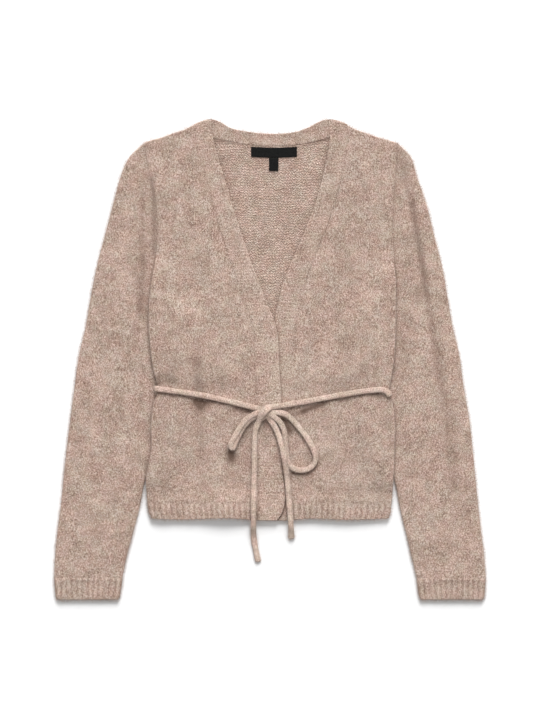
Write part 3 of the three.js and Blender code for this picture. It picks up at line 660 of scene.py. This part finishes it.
def smooth_path(points, step):
    """Centripetal curve through points, at even steps."""
    p = np.array(points, float)
    p = np.vstack([2 * p[0] - p[1], p, 2 * p[-1] - p[-2]])
    out = []
    for k in range(1, len(p) - 2):
        p0, p1, p2, p3 = near = p[k - 1:k + 3]
        gaps = np.sqrt(np.linalg.norm(np.diff(near, axis=0), axis=1)) + 1e-9
        t0, t1, t2, t3 = np.concatenate([[0], np.cumsum(gaps)])
        t = np.linspace(t1, t2, 24, endpoint=False)[:, None]

        def between(a, b, start, end):
            return (end - t) / (end - start) * a + (t - start) / (end - start) * b

        middle = between(p1, p2, t1, t2)
        before = between(between(p0, p1, t0, t1), middle, t0, t2)
        after = between(middle, between(p2, p3, t2, t3), t1, t3)
        out.append(between(before, after, t1, t2))
    out.append(p[-2][None, :])
    line = np.vstack(out)
    reach = reach_along(line)
    count = max(2, int(round(reach[-1] / step)))
    even = np.linspace(0, reach[-1], count + 1)
    return np.stack([np.interp(even, reach, line[:, k]) for k in range(3)], axis=1)


def resting(points):
    """Lifts a route of plan points and heights onto the cloth under it."""
    line = smooth_path(points, 4.0)
    x, y = line[:, 0], line[:, 1]
    near = [cloth_top(x + dx, y + dy) for dx, dy in ((0, 0), (5, 0), (-5, 0), (0, 6), (0, -6))]
    z = np.maximum.reduce(near) + SEAM + TIE_FLATNESS * TIE_CORE / 2 + line[:, 2]
    kernel = np.array([1, 2, 3, 2, 1]) / 9
    padded = np.concatenate([[z[0]] * 2, z, [z[-1]] * 2])
    return np.stack([x, y, np.convolve(padded, kernel, "valid")], axis=1)


KNOT_BASE = float(cloth_top(KNOT_X, KNOT_Y)) + SEAM


def pressed(value):
    """Turns the circle round a cord into a section with a flat top and full sides."""
    return np.sign(value) * np.abs(value) ** 0.72


CORD_STEP = 1.7
CORD_SIDES = 18


def cord(name, path, replaced, ends=(0.4, 1.0), swell=None):
    """A knitted tube along a path, slightly uneven and pressed flat, drawn in at its two ends."""
    line = smooth_path(path, CORD_STEP)
    ahead = unit(np.gradient(line, axis=0))
    side = unit(np.cross(ahead, [0, 0, 1.0]))
    for k in range(1, len(side)):
        if np.dot(side[k], side[k - 1]) < 0:
            side[k] = -side[k]
    up = np.cross(side, ahead)
    count = len(line) - 1
    reach = reach_along(line)
    total = reach[-1]
    width = TIE_CORE / 2 * (1 + 0.035 * np.sin(reach / 9) + 0.03 * np.sin(reach / 3.7 + 1))
    if swell is not None:
        width = width * swell(reach / total)
    for distance, amount in ((reach, ends[0]), (total - reach, ends[1])):
        inside = 1 - np.clip(distance / 1.8, 0, 1)
        width = width * (1 - amount * (1 - np.sqrt(1 - inside ** 2)) * 0.6)
        width = width * (1 + 0.08 * amount * hump(distance, 3, 5))

    def place(i, j):
        angle = 2 * np.pi * (i % CORD_SIDES) / CORD_SIDES
        inner = np.where((j == 0) | (j == count + 2), 0.02, 1.0)
        k = np.clip(j - 1, 0, count)
        r = width[k] * inner
        aside, over = pressed(np.cos(angle))[:, None], TIE_FLATNESS * pressed(np.sin(angle))[:, None]
        point = line[k] + r[:, None] * (aside * side[k] + over * up[k])
        around = i * (np.pi * TIE_CORE / CORD_SIDES)
        return point[:, 0], point[:, 1], point[:, 2], around, reach[k], 1 + 0 * around

    piece = shaped_grid(name, CORD_SIDES, count + 2, place, tie_knit)
    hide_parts(*replaced)
    return piece, line, total


low = KNOT_BASE + 2.4
right_path = np.vstack([
    [(-160.8, -41.2, float(cloth_top(-154.0, -41.2)) - 1.5)],
    resting(TIE_RIGHT),
    [(-12, -69.6, low + 1), (-4, -72.2, low)],
    resting(LOOP_LEFT),
    [(-1, -77.4, low + 1), (-8, -79.5, low + 1)],
    resting(TIE_END_RIGHT),
])
left_path = np.vstack([
    resting(TIE_LEFT),
    [(-3, -66.8, low + 1), (-11, -70.5, low)],
    resting(LOOP_RIGHT),
    [(-12, -73.5, low + 1.2), (-5, -77.5, low + 1.6)],
    resting(TIE_END_LEFT),
])
tie_a, line_a, length_a = cord("tie_cord_right", right_path, ["tie_right", "bow_loop_left", "tie_end_right"])
tie_b, line_b, length_b = cord("tie_cord_left", left_path, ["tie_left", "bow_loop_right", "tie_end_left"])

# Knot: one strand comes up from the right end, widens as it is drawn over the crossing and goes in
# under the strand from the left side
knot_path = [(-18.6, -94, 1.7), (-16, -87.5, 2.4), (-12.9, -79.4, 5.4), (-8.8, -73.4, 6.8),
             (-4.4, -69.4, 6.2), (0, -66.6, 4.2), (3.6, -66.0, 2.4)]
knot = cord(
    "bow_knot_wrap", [(x, y, KNOT_BASE + z) for x, y, z in knot_path], ["bow_knot"], ends=(0.3, 1.0),
    swell=lambda t: 0.86 + 0.16 * ease(t / 0.3) + 0.34 * hump(t, 0.62, 0.2),
)[0]


# Body panels
SEWN_ROUND = 0.08
# The band's seam meets the shoulder at this distance from the middle
NECK_SIDE = 106.3
NECK_HALF = 88


def shade_outside_edge(distance, width):
    """Painted shade just outside an edge that lies over the cloth, from 0 to 1."""
    return np.where(distance > -1, hump(np.maximum(distance, 0), 0, width), 0)


def back_painted_shade(x, y, c, r):
    """Painted shade on the inside of the back by the edges of the neck opening and by the neck seam."""
    beside = np.maximum(shade_outside_edge(x - edge_right(y), 3.4), shade_outside_edge(edge_left(y) - x, 3.4))
    opening = np.abs(x) < NECK_HALF
    corner = (0.34 + 0.2 * (x > 0)) * ease((np.abs(x) - 42) / 30) * opening
    below = shade_outside_edge(neck_seam(x) - y, 2.6) * (0.1 * opening + corner)
    return (1 - (0.2 + 0.14 * ease((y - 230) / 80)) * beside * (y > 60)) * (1 - below)


def shade_beside_right_front(x, y, c, r):
    """Painted shade on the left front beside the edge of the right front that lies over it."""
    return 1 - (0.36 + 0.3 * ease((-176 - y) / 14)) * shade_outside_edge(x - edge_right(y), 2.6)


def strand_line(route):
    """Height of one strand of the tie across the waist, for arrays of x."""
    return through({"x": [point[0] for point in route], "y": [point[1] for point in route]}, "x", "y")


tie_line_right = strand_line(TIE_RIGHT)
tie_line_left = strand_line(TIE_LEFT[2:])


def shade_under_tie(x, y, c, r):
    """A line of painted shade along the tie's lower side, where it presses into the knit."""
    strand = np.where(x < -8, tie_line_right(x), tie_line_left(x))
    by_bow = np.where(x < 0, ease((-18 - x) / 6), ease((x - 60) / 14))
    reach = ease((x + 160) / 6) * ease((158 - x) / 6) * by_bow
    return 1 - 0.56 * reach * shade_outside_edge(strand - 0.5 * TIE_CORE - y, 2.2)


def body_spot(start_edge, end_edge, start_top, end_top, top_line):
    def spot(part_c, shift_c, part_r, shift_r):
        def across(part, shift):
            start = start_edge(mix(HEM_SEAM, start_top, part) + shift)
            end = end_edge(mix(HEM_SEAM, end_top, part) + shift)
            return mix(start, end, part_c) + shift_c
        one = np.ones_like(part_r)
        top = top_line(across(one, 0 * one))
        return across(part_r, shift_r), mix(HEM_SEAM, top, part_r) + shift_r
    return spot


def tucked(x):
    """The back's top edge is drawn in a little where the fronts and their bands cover it."""
    return 1.2 * ease((np.abs(x) - 82) / 5)


def back_top(x):
    return np.where(np.abs(x) > NECK_SIDE, shoulder_at(np.abs(x)), neck_seam(x)) - 0.7 * tucked(x)


def front_top(x):
    return shoulder_at(np.abs(x))


def side_round(y):
    """The side edge is rounded where it is free and sewn flat along the armhole."""
    return mix(2.1, 0.3, ease((y - 90) / 16))


def joint_right(y):
    return seam_right(y) + SEAM / 2


def joint_left(y):
    return seam_left(y) - SEAM / 2


def closer_rows(rows, middle, reach, gain):
    """Moves the even lines so that they lie closer together round one place."""
    fine = np.linspace(0, 1, 1001)
    density = 1 + gain * hump(fine, middle, reach)
    total = np.concatenate([[0], np.cumsum((density[1:] + density[:-1]) / 2)])
    return dict(rows, part=np.interp(rows["part"], total / total[-1], fine))


def wall(base, extra=WALL):
    """Heights of a layer's two sides over its underside."""
    return lambda x, y, c, r: (base(x, y), base(x, y) + extra)


# The tie crosses the body at about 0.27 of its height
body_rows = closer_rows(lines(SEWN, 168, ROUND), 0.272, 0.055, 1.7)
back = cloth(
    "back_panel", "back", lines(ROUND, 76, ROUND), body_rows,
    body_spot(side_right, side_left, SHOULDER_TIP, SHOULDER_TIP, back_top), wall(lift),
    ((1.8, 0.5), (1.8, 0.5), (0.4, 0.4), (1.3, 0.3)), inside_knit, tone=back_painted_shade,
)
front_right = cloth(
    "front_right_panel", "front_right", lines(ROUND, 42, SEWN), body_rows,
    body_spot(side_right, joint_right, SHOULDER_TIP, SHOULDER_SEAM, front_top), wall(right_base),
    ((0.4, side_round), (0.2, SEWN_ROUND), (0.2, SEWN_ROUND), (0.4, 1.8)), knit, tone=shade_under_tie,
)
front_left = cloth(
    "front_left_panel", "front_left", lines(SEWN, 42, ROUND), body_rows,
    body_spot(joint_left, side_left, SHOULDER_SEAM, SHOULDER_TIP, front_top), wall(front_base),
    ((0.2, SEWN_ROUND), (0.4, side_round), (0.2, SEWN_ROUND), (0.4, 1.8)), knit, tone=shade_under_tie,
)

# Bands
BAND_BOTTOM = -225.2
BAND_TURN = 304
# Fine lines across a band, one for each few rows of knit
LINE_PITCH = 4.6


def band_spot(start_edge, end_edge, free_at_end):
    def spot(part_c, shift_c, part_r, shift_r):
        to_free = part_c if free_at_end else 1 - part_c
        top = neck_free(mix(NECK_SIDE, 81, to_free))
        y = mix(BAND_BOTTOM, top, part_r) + shift_r
        return mix(start_edge(y), end_edge(y), part_c) + shift_c, y
    return spot


band_rows = lines(ROUND, 300, ROUND)


def band_height(base, y, to_free):
    """The band is a little thicker along its free edge, and thins out where it turns onto the back of
    the neck."""
    roll = 0.5 * hump(to_free, 0.9, 0.09)
    thin = 2.1 * ease((y - BAND_TURN) / 12) * to_free ** 3
    return base + WALL + roll * (1 - ease((y - 290) / 14)) - thin


def band_tone(y, to_free):
    """Fine lines across the band, and painted shade in a fold line by its seam."""
    fold = 0.05 * hump(to_free, 0, 0.07)
    return (1.01 + 0.03 * np.sin(2 * np.pi * y / LINE_PITCH)) * (1 - fold)


def free_round(y):
    """The free edge is rounded less where the band turns onto the back of the neck."""
    return mix(1.5, 0.3, ease((y - BAND_TURN) / 12))


def right_band_tone(x, y, c, r):
    edge_light = 0.07 * hump(c, 0.84, 0.13) * ease((y - 20) / 40) * ease((250 - y) / 50)
    return band_tone(y, c) * shade_under_tie(x, y, c, r) + edge_light


def left_band_heights(x, y, c, r):
    base = front_base(x, y)
    return base, np.where(y > 60, band_height(base, y, 1 - c), base + WALL)


band_right = cloth(
    "band_front_right_ribbing", "band_front_right", lines(SEWN, 12, ROUND), band_rows,
    band_spot(joint_right, edge_right, True),
    lambda x, y, c, r: (right_base(x, y), band_height(right_base(x, y), y, c)),
    ((0.2, SEWN_ROUND), (0.6, free_round), (1.25, 0.9), (0.4, 1.8)),
    rib_knit, turn=True, tone=right_band_tone,
)
band_left = cloth(
    "band_front_left_ribbing", "band_front_left", lines(ROUND, 12, SEWN), band_rows,
    band_spot(edge_left, joint_left, False), left_band_heights,
    ((0.6, free_round), (0.2, SEWN_ROUND), (1.25, 0.9), (0.4, 1.8)), rib_knit, turn=True,
    tone=lambda x, y, c, r: band_tone(y, 1 - c) * shade_beside_right_front(x, y, c, r),
)


def neck_spot(part_c, shift_c, part_r, shift_r):
    x = mix(-103.5, 103.5, part_c) + shift_c
    low_edge = neck_seam(x)
    high_edge = neck_free(x) - tucked(x)
    return x, mix(low_edge, high_edge, part_r) + shift_r * np.minimum(1, (high_edge - low_edge) / 10)


band_back = cloth(
    "band_back_neck_ribbing", "band_back_neck", lines(SEWN, 110, SEWN), lines(SEWN, 8, ROUND), neck_spot,
    lambda x, y, c, r: (0 * x, WALL + 0.4 * (1 - ease((np.abs(x) - 72) / 8)) * (1 - ease(r / 0.8))),
    ((0.4, 0.4), (0.4, 0.4), (0.2, 0.5), (1.25, 1.35)),
    rib_knit, tone=lambda x, y, c, r: 0.98 + 0.03 * np.sin(2 * np.pi * x / LINE_PITCH),
)


# Hem ribbing
def rib(part, ribs):
    return RIB_HEIGHT * np.sin(np.pi * ribs * part) ** 2


def rib_fade(part):
    return mix(0.6, 1, ease(part / 0.12)) * mix(0.1, 1, ease((1 - part) / 0.35))


def valley_tone(part, ribs, fade):
    """The valleys between ribs are darker, partly from the darker purl side of the knit and partly painted
    shade; the ridges are a little lighter.
    """
    return 1 + fade * (0.06 - 0.25 * np.cos(np.pi * ribs * part) ** 4)


def dashes(part, row_part, ribs):
    """Where a rib begins below the seam it catches the light."""
    return 0.12 * np.sin(np.pi * ribs * part) ** 4 * hump(row_part, 0.86, 0.14)


def hem(node, start_edge, end_edge, layer, rounding):
    ribs = int(round(float(end_edge(-212) - start_edge(-212)) / RIB_PITCH))

    def spot(part_c, shift_c, part_r, shift_r):
        corner = 1.8 * (1 - ease(part_r / 0.3))
        level = mix(-223, HEM_SEAM, part_r) + shift_r
        start = start_edge(level) + (corner if start_edge is side_right else 0)
        end = end_edge(level) - (corner if end_edge is side_left else 0)
        x = mix(start, end, part_c) + shift_c
        scallop = 0.35 * np.cos(2 * np.pi * ribs * part_c) * (1 - part_r)
        return x, mix(hem_bottom(x), HEM_SEAM, part_r) + shift_r + scallop

    def tone(x, y, c, r):
        shade = valley_tone(c, ribs, rib_fade(r)) + dashes(c, r, ribs)
        return shade * (shade_beside_right_front(x, y, c, r) if node == "hem_front_left" else 1)

    return cloth(
        node + "_ribbing", node, lines(SEWN, 9 * ribs - 1, SEWN), lines(ROUND, 8, SEWN), spot,
        lambda x, y, c, r: layer(x, y, rib(c, ribs) * rib_fade(r)), rounding, rib_knit, tone=tone,
    )


hem_back = hem(
    "hem_back", side_right, side_left,
    lambda x, y, ridge: (RIB_HEIGHT - ridge, RIB_HEIGHT + WALL + 0 * x),
    ((1.2, 0.4), (1.2, 0.4), (1.2, 1.2), (0.06, 0.2)),
)
hem_right = hem(
    "hem_front_right", side_right, joint_right,
    lambda x, y, ridge: (right_base(x, y), right_base(x, y) + WALL + ridge),
    ((0.4, 1.6), (0.2, SEWN_ROUND), (1.1, 0.9), (0.2, 0.06)),
)
hem_left = hem(
    "hem_front_left", joint_left, side_left,
    lambda x, y, ridge: (front_base(x, y), front_base(x, y) + WALL + ridge),
    ((0.2, SEWN_ROUND), (0.4, 1.6), (1.1, 0.9), (0.2, 0.06)),
)


# Sleeves and cuffs: flattened tubes with an outer and an inner side
def tube_ring(upper_count, lower_count, steps):
    """Points round a flattened tube: part of the way across, shift, rise from 0 to 1, inset."""
    radius = SLEEVE_DEPTH / 2

    def edge_point(s):
        rise = 0.5 + 0.5 * math.sqrt(max(0.0, 1 - ((radius - min(s, radius)) / radius) ** 2))
        return 0.0, s, rise, max(WALL - 0.35 * s, 1.2)

    near = [(0.0, 0.0, 0.5, WALL)] + [edge_point(s) for s in steps]
    far = [(1.0, -s, rise, -inset) for _, s, rise, inset in reversed(near)]
    reach, inset_reach = steps[-1], near[-1][3]

    def level(parts, rise):
        return [(p, mix(reach, -reach, p), rise, mix(inset_reach, -inset_reach, p)) for p in parts]

    def underneath(points):
        return [(p, s, 1 - rise, inset) for p, s, rise, inset in reversed(points)]

    upper = level([(k + 1) / (upper_count + 1) for k in range(upper_count)], 1.0)
    lower = level([1 - (k + 1) / (lower_count + 1) for k in range(lower_count)], 0.0)
    return np.array(near + upper + far + underneath(far[:-1]) + lower + underneath(near[1:]))


def tube(node, ring, rows, spot, outside, inside, slot, material, weave, tone):
    """Outer rows one way and inner rows back again, joined at both open ends."""
    count, last = len(ring), len(rows)

    def place(i, j):
        turn = j % (2 * last)
        outer = turn < last
        t = rows[np.where(outer, turn, 2 * last - 1 - turn)]
        part, shift, rise, inset = ring[i % count].T
        x, y = spot(part, shift + np.where(outer, 0, inset), t)
        z = np.where(outer, outside(x, y, t, part, shift, rise), inside(x, y, t, part, shift, rise))
        across, along = weave(x, y, part, shift, t)
        # Painted shade and light of the folds, and painted light round the tube's side edges
        shade = 1 + along_folds(x, y, FOLD_PAINTED_SHADING) + 1.5 * EDGE_PAINTED_LIGHT * np.clip(2 - 2 * rise, 0, 1)
        return x, y, z, across, along, shade * tone(x, y, part, t)

    kind = "_tube" if slot == "knit" else "_ribbing"
    piece = shaped_grid(node + kind, count, 2 * last, place, material)
    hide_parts(node)
    return piece


def sleeve(node, table, body_side):
    facing = math.copysign(1, table["outer_x"][0])
    sections = dict(table, t=list(range(18)))
    outer_x, outer_y, inner_x, inner_y, puff = (
        through(sections, "t", column) for column in ("outer_x", "outer_y", "inner_x", "inner_y", "puff"))
    fine = np.linspace(0, 17, 1701)
    reach = reach_along(np.stack([outer_x(fine), outer_y(fine)], axis=1))
    inner_rows = np.linspace(0, reach[-1], 174)[1:-1]
    end_rows = np.array([0, 0.06, 0.5])
    rows = np.interp(np.concatenate([end_rows, inner_rows, reach[-1] - end_rows[::-1]]), reach, fine)
    first = [table[column][0] for column in ("outer_x", "outer_y", "inner_x", "inner_y")]

    def follow(t):
        return (1 - np.clip(t / 5, 0, 1) ** 2) ** 1.5

    def armhole(part):
        y = mix(first[1], first[3], part)
        return body_side(y) + facing * ARMHOLE_GAP - mix(first[0], first[2], part)

    def across(part, shift, t):
        length = np.hypot(outer_x(t) - inner_x(t), outer_y(t) - inner_y(t))
        return np.clip(part + shift / length, 0, 1)

    def spot(part, shift, t):
        p = across(part, shift, t)
        x = mix(outer_x(t), inner_x(t), p) + armhole(p) * follow(t)
        y = mix(outer_y(t), inner_y(t), p)
        clear = np.where(y > 100, np.abs(body_side(y)) + ARMHOLE_GAP, 0)
        return facing * np.maximum(np.abs(x), clear), y

    def depth(x, y, t, part, shift):
        p = across(part, shift, t)
        clear = ease((np.abs(x) - np.abs(body_side(y)) - 8) / 22)
        crown = np.sin(np.pi * p) ** 0.7
        free = clear * np.minimum(1, 2 * crown) * ease((17 - t) / 0.6)
        air = np.maximum(puff(t) * clear * crown + relief(x, y) * free, 0)
        gathered = 0.03 * ease(t / 3)
        return SLEEVE_DEPTH + air - gathered

    def outside(x, y, t, part, shift, rise):
        return np.where(rise < 0.5, rise * SLEEVE_DEPTH, rise * depth(x, y, t, part, shift))

    def inside(x, y, t, part, shift, rise):
        top = depth(x, y, t, part, shift) - WALL
        return np.where(rise == 0.5, SLEEVE_DEPTH / 2, np.where(rise < 0.5, WALL, top))

    # Painted shade on the sleeve along the edge of the body that lies over it
    def shade_beside_body(x, y, part, t):
        return 1 - 0.2 * shade_outside_edge(np.abs(x) - np.abs(body_side(y)), 2.4) * ease((y + 215) / 10)

    # The knit runs straight down the sleeve, from the middle of the armhole to the middle of the cuff
    down_x, down_y = 83.0 / 514.0, -507.0 / 514.0

    def weave(x, y, part, shift, t):
        return facing * x * -down_y + y * down_x, facing * x * down_x + y * down_y

    return tube(node, tube_ring(40, 18, [0.15, 0.6, 1.4, 2.75]), rows, spot, outside, inside, "knit", knit,
                weave, shade_beside_body)


def cuff(node, table):
    facing = math.copysign(1, table["outer_x"][-1])
    seam_outer, seam_inner = table["outer_x"][-1], table["inner_x"][-1]
    width = abs(seam_outer - seam_inner)
    ribs = int(round(width / RIB_PITCH))
    total = CUFF_SEAM - CUFF_END
    drops = np.concatenate([[0, 0.06, 0.5], np.linspace(2.2, total - 2, 14),
                            total - 2 + np.array([0.9, 1.5, 1.85, 2.0])])

    def spot(part, shift, t):
        narrow = mix(0, 6.4, (drops_at(t) / total) ** 1.3)
        corner = 1.6 * ease((drops_at(t) - total + 4) / 4)
        outer = seam_outer - facing * (narrow * 0.35 + corner)
        inner = seam_inner + facing * (narrow * 0.65 + corner)
        return mix(outer, inner, part + shift / width), CUFF_SEAM - drops_at(t)

    def drops_at(t):
        return drops[np.clip(np.rint(t).astype(int), 0, len(drops) - 1)]

    def fade(t):
        d = drops_at(t)
        return mix(0.45, 1, ease(d / 3)) * mix(0.2, 1, ease((total - d) / 4))

    def pinch(t):
        return drop(total - drops_at(t), 0.9)

    middle = RIB_HEIGHT + SLEEVE_DEPTH / 2

    def outside(x, y, t, part, shift, rise):
        down = drops_at(t)
        ridge = rib(part, ribs) * fade(t)
        ends = SLEEVE_PUFF[-1] * np.sin(np.pi * np.clip(part, 0, 1)) ** 0.7 * (1 - ease(down / 9))
        top = RIB_HEIGHT * ease(down / 5) + SLEEVE_DEPTH + ends + ridge * ease(down / 2) - pinch(t)
        bottom = RIB_HEIGHT - ridge + 0.9 * pinch(t)
        return np.where(rise > 0.5, mix(middle, top, 2 * rise - 1), mix(middle, bottom, 1 - 2 * rise))

    def inside(x, y, t, part, shift, rise):
        gap = 0.15 + 0.5 * (drops_at(t) / total) * np.sin(np.pi * np.clip(part, 0, 1))
        return middle + gap * np.sign(rise - 0.5)

    rows = np.arange(len(drops)).astype(float)
    return tube(node, tube_ring(8 * ribs - 1, 8 * ribs - 1, [0.15, 0.6, 1.4]), rows, spot, outside, inside,
                "ribbing", rib_knit, lambda x, y, part, shift, t: (part * width + shift, drops_at(t)),
                lambda x, y, part, t: valley_tone(part, ribs, fade(t)))


sleeve_right = sleeve("sleeve_right", RIGHT_SLEEVE, side_right)
sleeve_left = sleeve("sleeve_left", LEFT_SLEEVE, side_left)
cuff_right = cuff("cuff_right", RIGHT_SLEEVE)
cuff_left = cuff("cuff_left", LEFT_SLEEVE)

# Labels
LABEL_BASE = WALL + SEAM
LABEL_EDGE = [0, 0.1, 0.3]
LABEL_LEFT, LABEL_RIGHT = -26.5, 37.7
LABEL_TOP, LABEL_DEPTH = 297.6, 14
LABEL_ROUND = ((0.2, 0.3),) * 4


def label_spot(part_c, shift_c, part_r, shift_r):
    x = mix(LABEL_LEFT, LABEL_RIGHT, part_c) + shift_c
    sag = 1.2 * np.cos(np.pi * (x - (LABEL_LEFT + LABEL_RIGHT) / 2) / 64)
    return x, LABEL_TOP - sag - LABEL_DEPTH * (1 - part_r) + shift_r


label_main = cloth(
    "label_main_ribbon", "label_main", lines(LABEL_EDGE, 40, LABEL_EDGE), lines(LABEL_EDGE, 8, LABEL_EDGE),
    label_spot,
    lambda x, y, c, r: (LABEL_BASE + 0 * x, LABEL_BASE + 0.8 + 0.25 * np.sin(np.pi * c) * (1 - r)),
    LABEL_ROUND, label_cloth,
)
label_size = cloth(
    "label_size_loop", "label_size", lines(LABEL_EDGE, 8, LABEL_EDGE), lines([0, 0.2, 0.6], 12, LABEL_EDGE),
    lambda c, sc, r, sr: (mix(-1.3, 11.8, c) + sc, mix(263.8, 282.1, r) + sr),
    lambda x, y, c, r: (LABEL_BASE + 0 * x, LABEL_BASE + 1.3 + 0.2 * (1 - r)),
    ((0.2, 0.3), (0.2, 0.3), (0.6, 0.6), (0.2, 0.3)), label_cloth,
)


# Brushed fibres that stand off the knit
FIBRE_WIDTH = 0.11
# Least height of a fibre over the surface that the garment lies on
FIBRE_FLOOR = 0.15
def surface_samples(piece, count, seed, keep):
    """Points and normals spread over a piece by area, where keep(points, normals) allows."""
    rng = np.random.default_rng(seed)
    mesh = piece.data
    mesh.calc_loop_triangles()
    tri = np.zeros(len(mesh.loop_triangles) * 3, np.int32)
    mesh.loop_triangles.foreach_get("vertices", tri)
    tri = tri.reshape(-1, 3)
    co = np.zeros(len(mesh.vertices) * 3, np.float32)
    mesh.vertices.foreach_get("co", co)
    co = co.reshape(-1, 3).astype(float)
    a, b, c = co[tri[:, 0]], co[tri[:, 1]], co[tri[:, 2]]
    cross = np.cross(b - a, c - a)
    area = np.linalg.norm(cross, axis=1)
    normal = cross / np.maximum(area, 1e-15)[:, None]
    middle = (a + b + c) / 3
    weight = area * keep(middle, normal)
    pick = rng.choice(len(tri), size=count, p=weight / weight.sum())
    s, t = rng.random(count), rng.random(count)
    flip = s + t > 1
    s, t = np.where(flip, 1 - s, s), np.where(flip, 1 - t, t)
    spot = a[pick] + s[:, None] * (b - a)[pick] + t[:, None] * (c - a)[pick]
    return spot, normal[pick], rng


def brushed_fibres(name, sources, seed):
    """Short curled fibres that stand off the given pieces, each a ribbon of three cells."""
    points, faces, base = [], [], 0
    for number, (piece, count) in enumerate(sources):
        keep = on_back if piece is back else outer_side
        spot, normal, rng = surface_samples(piece, count, seed + number, keep)
        head = rng.random(count) * 2 * np.pi
        curl = rng.normal(0, 0.75, count)
        length = rng.uniform(2.2, 5.4, count)[:, None] * MM
        rise = rng.uniform(0.2, 0.8, count)[:, None] * MM * np.where(normal[:, 2:3] < 0.7, 4.5, 1)
        helper = np.where(np.abs(normal[:, 2:3]) > 0.7, [[1.0, 0, 0]], [[0, 0, 1.0]])
        t1 = unit(np.cross(normal, helper))
        t2 = np.cross(normal, t1)
        foot = spot
        corners = []
        for width, height in ((1.0, -0.15), (1.0, 0.55), (0.8, 1.0), (0.3, 0.85)):
            ahead = np.cos(head)[:, None] * t1 + np.sin(head)[:, None] * t2
            across = np.cos(head)[:, None] * t2 - np.sin(head)[:, None] * t1
            point = foot + normal * rise * height
            point[:, 2] = np.maximum(point[:, 2], FIBRE_FLOOR * MM)
            half = across * FIBRE_WIDTH / 2 * width * MM
            corners += [point - half, point + half]
            foot = foot + ahead * length / 3
            head = head + curl
        start = base + 8 * np.arange(count)[:, None]
        cells = [start + np.array([[k, k + 1, k + 3, k + 2]]) for k in (0, 2, 4)]
        points.append(np.stack(corners, axis=1).reshape(-1, 3))
        faces.append(np.concatenate(cells))
        base += 8 * count
    points, faces = np.concatenate(points), np.concatenate(faces)
    mesh = bpy.data.meshes.new(name)
    mesh.from_pydata(points.tolist(), [], faces.tolist())
    return placed(name, mesh, fuzz)


def outer_side(points, normals):
    """Where the outer side can be seen, and thicker round the edges."""
    return (normals[:, 2] > -0.3) * (1 + 22.0 * (normals[:, 2] < 0.7))


def on_back(points, normals):
    """The back shows only inside the neck opening."""
    x, y = points[:, 0] / MM, points[:, 1] / MM
    shown = (normals[:, 2] > 0.3) & (x > edge_right(y)) & (x < edge_left(y)) & (y > 60)
    return shown.astype(float)


brushed_fibres("brushed_fibres_fronts", [(front_right, 11000), (front_left, 11000)], 11)
brushed_fibres("brushed_fibres_bands", [
    (band_right, 4000), (band_left, 3000), (band_back, 1500), (hem_right, 2200), (hem_left, 2200),
    (back, 4200),
], 21)
brushed_fibres("brushed_fibres_sleeve_right", [(sleeve_right, 14500), (cuff_right, 2200)], 31)
brushed_fibres("brushed_fibres_sleeve_left", [(sleeve_left, 14500), (cuff_left, 2200)], 41)
brushed_fibres("brushed_fibres_tie", [(tie_a, 2600), (tie_b, 2300), (knot, 350)], 51)


def strip_area(start, end, low_y, high_y):
    y = np.linspace(low_y, high_y, 200)
    return float(np.sum((end(y) - start(y))[:-1] * np.diff(y))) * MM * MM


def sleeve_area(table):
    outline = list(zip(table["outer_x"], table["outer_y"]))
    outline += list(zip(table["inner_x"], table["inner_y"]))[::-1]
    return 2 * plan_area(outline)


strip_area(side_right, side_left, -200, 303) + 0.004
strip_area(side_right, seam_right, -200, 315)
strip_area(seam_left, side_left, -200, 315)
sleeve_area(RIGHT_SLEEVE)
sleeve_area(LEFT_SLEEVE)

# Floor and light
floor_mesh = bmesh.new()
bmesh.ops.create_grid(floor_mesh, x_segments=1, y_segments=1, size=4)
floor_data = bpy.data.meshes.new("floor")
floor_mesh.to_mesh(floor_data)
floor_mesh.free()
floor_material, _, floor_shader = new_material("pale floor", 0.8, 0.1)
floor_shader["Base Color"].default_value = (0.93, 0.93, 0.93, 1)
floor_data.materials.append(floor_material)
floor = bpy.data.objects.new("floor", floor_data)
floor.location = (0, 0, -0.0004)
bpy.context.scene.collection.objects.link(floor)


def broad_light(name, place, strength, angle):
    """Even soft light from a direction."""
    data = bpy.data.lights.new(name, "SUN")
    data.energy = strength
    data.angle = math.radians(angle)
    light = bpy.data.objects.new(name, data)
    light.location = place
    light.rotation_euler = (-Vector(place)).to_track_quat("-Z", "Y").to_euler()
    bpy.context.scene.collection.objects.link(light)


broad_light("key light", (0.12, 1.1, 1.0), 2.2, 22)
broad_light("low light", (0.05, 1.2, 0.34), 2.75, 44)
world = bpy.data.worlds.new("studio")
world.use_nodes = True
world.node_tree.nodes["Background"].inputs["Color"].default_value = (1, 1, 1, 1)
world.node_tree.nodes["Background"].inputs["Strength"].default_value = 0.52
bpy.context.scene.world = world
bpy.context.scene.view_settings.view_transform = "Standard"
